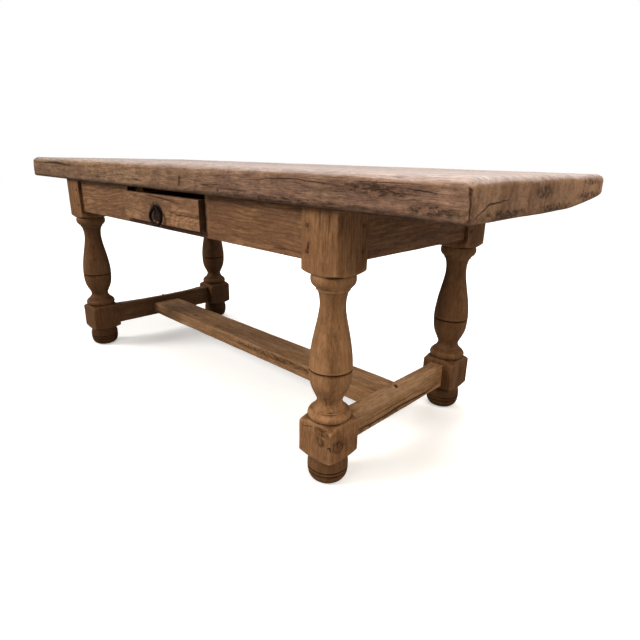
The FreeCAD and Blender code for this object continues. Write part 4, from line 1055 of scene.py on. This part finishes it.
for key, leg in legs.items():
    # the foot darkens towards the floor, and painted shade darkens the turning of a leg in the shade
    shades = [legForm["footShade"], (*legForm["paintedTurningShade"], leg["shade"], 1.0)]
    marks = [leg.get(kind, ()) for kind in ("cracks", "knots", "patches")]
    material = oakMaterial("oak of the leg, " + key, "leg", "Z", leg["heart"], 120.0, 0.05, 0.03, 0.6,
                           *marks, shades=shades)
    mesh = legMesh("leg" + key, leg["node"], leg["seed"])
    finishPiece("leg" + key, mesh, "root", leg["node"], material, 40)
print("legs turned")


# Aprons and stretchers

railForm = {
    "arris": 1.8 * mm,
    "spacing": (10 * mm, 10 * mm, 10 * mm),
    "wave": 0.6 * mm,
    "pitch": 120 * mm,
}
apronForm = {
    "spacing": (12 * mm, 10 * mm, 6 * mm),
    "wave": 0.4 * mm,
    "seed": 1.0,
    # the drawer's opening, and the painted shadow beside it, under it and below the top
    "openingHalf": 230 * mm,
    "sillGap": 0.3 * mm,
    "besideShadow": 6 * mm,
    "underShadow": 2 * mm,
    "underShadowHeight": 16 * mm,
    "topShadowHeight": 3.5 * mm,
}
stretcherForm = {
    "arris": 4.5 * mm,
    "spacing": (9 * mm, 7 * mm, 6 * mm),
    "wave": 0.8 * mm,
    "pitch": 90 * mm,
    "seed": 6.0,
    # how far the long stretcher's shoulders stand from the middle
    "shoulder": 657 * mm,
}
endForm = {
    **stretcherForm,
    "arris": 3 * mm,
    "spacing": (4 * mm, 8 * mm, 5 * mm),
    # the hollow worn by feet in the outer upper arris, and the bevel on the lower one
    "wornHalf": 205 * mm,
    "wornDepth": 20 * mm,
    "wornPower": 2.6,
    "lowerBevel": 7 * mm,
    "paleReach": 2.5 * mm,
    "paleDepth": 1.5 * mm,
    # the left one stands in the shade, so painted shade darkens it all the way up
    "leftPaintedShade": (0.0, 200 * mm, 0.42, 0.42),
}
# where the faces of the legs stand, which the shoulders of the aprons meet
legFaceX, legFaceY = 623 * mm, 239 * mm


def apronFront():
    low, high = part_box("apron_front")
    low.x, high.x = -legFaceX, legFaceX
    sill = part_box("drawer_front")[0][2] - apronForm["sillGap"]
    opening, radius = apronForm["openingHalf"], railForm["arris"]
    extras = ((-opening, opening), (), (sill,))
    grid = [ticks(low[i], high[i], apronForm["spacing"][i], radius, radius, 3, extras[i]) for i in range(3)]
    mesh = cellBlock("apronFront", grid, lambda x, y, z: abs(x) > opening or z < sill)
    roundArrises(mesh, low, high, lambda place: radius * (0.8 + 0.4 * noise.noise(place * 12)))
    roughen(mesh, low, high, apronForm["wave"], railForm["pitch"], apronForm["seed"])
    markWear(mesh)

    def drawerShadow(x, y, z):
        # painted shadow under the drawer front and along its opening
        if z >= sill:
            return 2.2 if abs(x) < opening + apronForm["besideShadow"] else 0.0
        under = abs(x) < opening + apronForm["underShadow"] and z > sill - apronForm["underShadowHeight"]
        return 1.3 if under else 0.0

    def shadowUnderTop(x, y, z):
        # a painted shadow line where the apron meets the top
        return 0.8 if z > high.z - apronForm["topShadowHeight"] else 0.0

    layOn(mesh, "hollow", drawerShadow)
    layOn(mesh, "hollow", shadowUnderTop)
    material = oakMaterial("oak of the front apron", "apron", "X", (0.3, -0.30, 0.55), 95.0, 0.08, 0.09, 1.2)
    finishPiece("apronFront", mesh, "root", "apron_front", material, 35)


def plainApron(side, axis, heart, seed):
    name, node = "apron" + side, "apron_" + side.lower()
    low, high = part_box(node)
    if axis == "X":
        low.x, high.x = -legFaceX, legFaceX
    else:
        low.y, high.y = -legFaceY, legFaceY
    material = oakMaterial("oak of the " + name, "apron", axis, heart, 85.0, 0.05, 0.05, 0.85)
    board(name, node, "root", material, {**railForm, "seed": seed}, low, high)


def endStretcher(end, side, seed):
    # side is -1 at the left end and 1 at the right one
    name, node = "endStretcher" + end, "end_stretcher_" + end.lower()
    low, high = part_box(node)
    low.y, high.y = -legFaceY, legFaceY
    outer = high.x if side > 0 else low.x

    def wornAt(y):
        share = min(1.0, abs(y) / endForm["wornHalf"])
        return endForm["wornDepth"] * (1 - share ** endForm["wornPower"])

    def shape(mesh):
        for point in mesh.vertices:
            out = (point.co.x - outer) * side
            hollow = wornAt(point.co.y)
            over = out + (point.co.z - high.z) + hollow
            if over > 0 and hollow > 0:
                point.co.x -= side * over / 2
                point.co.z -= over / 2
            under = out + (low.z - point.co.z) + endForm["lowerBevel"]
            if under > 0:
                point.co.x -= side * under / 2
                point.co.z += under / 2

    def wornBand(x, y, z):
        # feet keep the hollowed arris pale
        hollow = wornAt(y)
        over = (x - outer) * side + z - high.z + hollow
        return 0.6 if over > -endForm["paleReach"] and hollow > endForm["paleDepth"] else 0.0

    cracks = [
        ([(outer, -0.235, 0.108), (outer, -0.13, 0.101), (outer, 0.02, 0.104), (outer, 0.14, 0.098),
          (outer, 0.22, 0.106)], onEnd, 0.004),
        ([(outer, -0.07, 0.118), (outer, 0.1, 0.122)], onEnd, 0.0012),
    ]
    patches = [
        ((outer, 0.02, 0.095), (0.02, 0.16, 0.012), (120.0, 30.0, 120.0)),
        ((outer, -0.16, 0.098), (0.02, 0.06, 0.008), (120.0, 40.0, 120.0)),
    ]
    # painted shade on the left one
    shades = [endForm["leftPaintedShade"]] if side < 0 else ()
    material = oakMaterial("oak of the " + name, "stretcher", "Y", (side * 0.72, 0.0, 0.02), 95.0, 0.04,
                           0.03, 0.7, cracks, (), patches, shades=shades)
    piece = board(name, node, "root", material, {**endForm, "seed": seed}, low, high, shape)
    layOn(piece.data, "edge", wornBand)


def longStretcher():
    low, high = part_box("long_stretcher")
    low.x, high.x = -stretcherForm["shoulder"], stretcherForm["shoulder"]
    knots = [((-0.355, -0.027, high.z), 0.009)]
    pits = [((0.22, low.y, 0.124), (0.36, 0.02, 0.016), (70.0, 130.0, 130.0))]
    material = oakMaterial("oak of the long stretcher", "stretcher", "X", (0.1, 0.04, -0.02), 80.0, 0.05,
                           0.03, 0.8, (), knots, pits)
    board("longStretcher", "long_stretcher", "root", material, stretcherForm, low, high)


apronFront()
plainApron("Rear", "X", (0.1, 0.42, 0.58), 21.0)
plainApron("Left", "Y", (-0.62, 0.2, 0.56), 17.0)
plainApron("Right", "Y", (0.66, 0.1, 0.54), 9.0)
endStretcher("Left", -1, 14.0)
endStretcher("Right", 1, 15.0)
longStretcher()
print("aprons and stretchers fitted")


# The drawer front and its pull

drawerForm = {
    "arris": 2.2 * mm,
    "spacing": (8 * mm, 6 * mm, 8 * mm),
    "wave": 0.5 * mm,
    "pitch": 80 * mm,
    "seed": 19.0,
}


def drawerFront():
    low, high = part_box("drawer_front")
    front = low.y
    cracks = [
        ([(-0.07, front, 0.68), (0.035, front, 0.676), (0.12, front, 0.667)], onFront, 0.003),
        ([(0.06, front, 0.64), (0.12, front, 0.633), (0.17, front, 0.636)], onFront, 0.0018),
    ]
    stain = [((-0.022, front, 0.63), 0.056)]  # iron darkens oak all round the plate
    # its end faces take the near-black painted shade
    material = oakMaterial("oak of the drawer front", "drawerFront", "X", (0.02, -0.315, 0.618), 150.0,
                           0.16, 0.11, 0.9, cracks, stain, endTone="shadedDrawerEnd")
    board("drawerFront", "drawer_front", "drawer", material, drawerForm, low, high)


drawerFront()
blackIron = ironMaterial("blackened iron", (0.010, 0.004, 0.0035), (0.027, 0.013, 0.011), 0.6, 1.0)
plateIron = ironMaterial("rubbed iron", (0.024, 0.013, 0.011), (0.085, 0.055, 0.048), 0.55, 1.0)
dullSteel = ironMaterial("dull steel", (0.22, 0.21, 0.20), (0.40, 0.39, 0.37), 0.45, 0.3)
nailIron = ironMaterial("nail iron", (0.07, 0.055, 0.045), (0.16, 0.14, 0.12), 0.5, 0.5)


# Pieces that keep their frame solid get their finish here

def plainOak(name, tone, axis):
    return oakMaterial(name, tone, axis, (0.2, 0.15, 0.5), 85.0, 0.04, 0.03, 0.7, edgeFound=2 * mm)


innerAlong = plainOak("bare inner oak along X", "inner", "X")
innerAcross = plainOak("bare inner oak along Y", "inner", "Y")
# painted shade: the drawer sides and kickers are near black, as they are seen in the shaded gaps
shadedSideOak = plainOak("oak of the drawer sides in painted shade", "shadedDrawerSide", "Y")
pegOak = oakMaterial("peg oak", "peg", "Z", (0.5, 0.5, 0.0), 200.0, 0.0, 0.01, 0.5, edgeFound=1 * mm)

kept = (
    (innerAlong, ("top_tongue_front", "top_tongue_rear", "drawer_back", "drawer_bottom")),
    (innerAcross, ("drawer_runner_left", "drawer_runner_right", "drawer_stops", "top_buttons")),
    (shadedSideOak, ("drawer_side_left", "drawer_side_right", "drawer_kicker_left", "drawer_kicker_right")),
    (pegOak, ("apron_pegs", "stretcher_pegs")),
    (dullSteel, ("button_screws", "kicker_screws", "pull_washer", "pull_nut")),
    (nailIron, ("bottom_nails",)),
    (plateIron, ("pull_backplate",)),
    (blackIron, ("pull_eye", "pull_ring")),
)
for material, names in kept:
    for name in names:
        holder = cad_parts[name]
        if not holder.material_slots:
            holder.data.materials.append(material)
        for slot in holder.material_slots:
            slot.material = material
print("frame solids finished")


# Floor, light and camera

studio = {
    "floorHalf": 14.0,
    "floorLevel": -1 * mm,
    "floorSeen": (0.93, 0.925, 0.915),
    "floorGives": (0.30, 0.29, 0.28),
    "floorGlow": (0.36, 0.357, 0.352),
    "skySeen": (1.0, 1.0, 1.0),
    "skyGives": (1.0, 0.985, 0.965),
    "skyStrength": 0.40,
    # place, aim, size, power and tone
    "lamps": {
        "overhead": ((0.3, 0.2, 3.4), (0.1, 0.0, 0.7), (3.6, 2.6), 150, (1.0, 0.98, 0.96)),
        "right fill": ((3.6, -1.0, 2.6), (0.6, 0.0, 0.6), (1.8, 1.8), 84, (1.0, 0.90, 0.76)),
    },
    # where the daylight comes from, its softness in degrees, strength and tone
    "daylight": ((-0.50, -0.72, 0.48), 24.0, 2.7, (1.0, 0.965, 0.92)),
}


def floor():
    # pale to the eye, but it throws back less light than it seems to, and is clear from below
    half, level = studio["floorHalf"], studio["floorLevel"]
    corners = [(-half, -half, level), (half, -half, level), (half, half, level), (-half, half, level)]
    mesh = newMesh("floor", corners, [(0, 1, 2, 3)])
    material, tree, shader = newMaterial("pale floor")
    seen = addNode(tree, "LightPath", out="Is Camera Ray")
    feed(shader, {
        "Base Color": tint(seen, studio["floorGives"], studio["floorSeen"]),
        "Emission Color": tint(seen, (0.0, 0.0, 0.0), studio["floorGlow"]),
        "Emission Strength": 1.0,
        "Alpha": 1.0 - addNode(tree, "NewGeometry", out="Backfacing"),
        "Roughness": 0.9,
        "Specular IOR Level": 0.0,
    })
    mesh.materials.append(material)
    addObject("floor", mesh)


def addLamp(name, kind, aim, power, tone):
    data = bpy.data.lights.new(name, kind)
    data.energy = power
    data.color = tone
    lamp = addObject(name, data)
    lamp.rotation_euler = aim.to_track_quat("-Z", "Y").to_euler()
    return lamp


def light():
    world = bpy.data.worlds.new("studio")
    world.use_nodes = True
    tree = world.node_tree
    sky = tree.nodes["Background"]
    feed(sky, {"Color": studio["skyGives"], "Strength": studio["skyStrength"]})
    wall = addNode(tree, "Background", {"Color": studio["skySeen"], "Strength": 1.0})
    seen = addNode(tree, "LightPath", out="Is Camera Ray")
    mixed = addNode(tree, "MixShader", {0: seen, 1: Wire(sky.outputs[0]), 2: wall})
    feed(tree.nodes["World Output"], {"Surface": mixed})
    bpy.context.scene.world = world
    for name, (place, target, size, power, tone) in studio["lamps"].items():
        lamp = addLamp(name, "AREA", Vector(target) - Vector(place), power, tone)
        lamp.location = place
        lamp.data.shape = "RECTANGLE"
        lamp.data.size, lamp.data.size_y = size
    source, softness, strength, tone = studio["daylight"]
    addLamp("daylight", "SUN", -Vector(source), strength, tone).data.angle = math.radians(softness)


# the viewpoint was solved from the table's straight edges; angles are in degrees
view = {
    "place": (1.4037, -1.1097, 0.8015),
    "yaw": 43.2,
    "pitch": -18.5,
    "roll": 1.4,
    "focalPixels": 482.5,
    "framePixels": 640.0,
    "sensor": 36.0,
    "nearest": 0.02,
}


def camera():
    yaw, pitch, roll = (math.radians(view[key]) for key in ("yaw", "pitch", "roll"))
    reach = math.cos(pitch)
    forward = Vector((-math.sin(yaw) * reach, math.cos(yaw) * reach, math.sin(pitch)))
    level = Vector((math.cos(yaw), math.sin(yaw), 0.0))
    upright = level.cross(forward)
    right = math.cos(roll) * level + math.sin(roll) * upright
    up = math.cos(roll) * upright - math.sin(roll) * level
    data = bpy.data.cameras.new("viewpoint")
    data.sensor_width = view["sensor"]
    data.lens = view["focalPixels"] / view["framePixels"] * view["sensor"]
    data.clip_start = view["nearest"]
    eye = addObject("viewpoint", data)
    turn = Matrix((right, up, -forward)).transposed().to_4x4()
    eye.matrix_world = Matrix.Translation(view["place"]) @ turn
    bpy.context.scene.camera = eye


floor()
light()
camera()
bpy.context.scene.view_settings.view_transform = "Standard"
print("studio set")
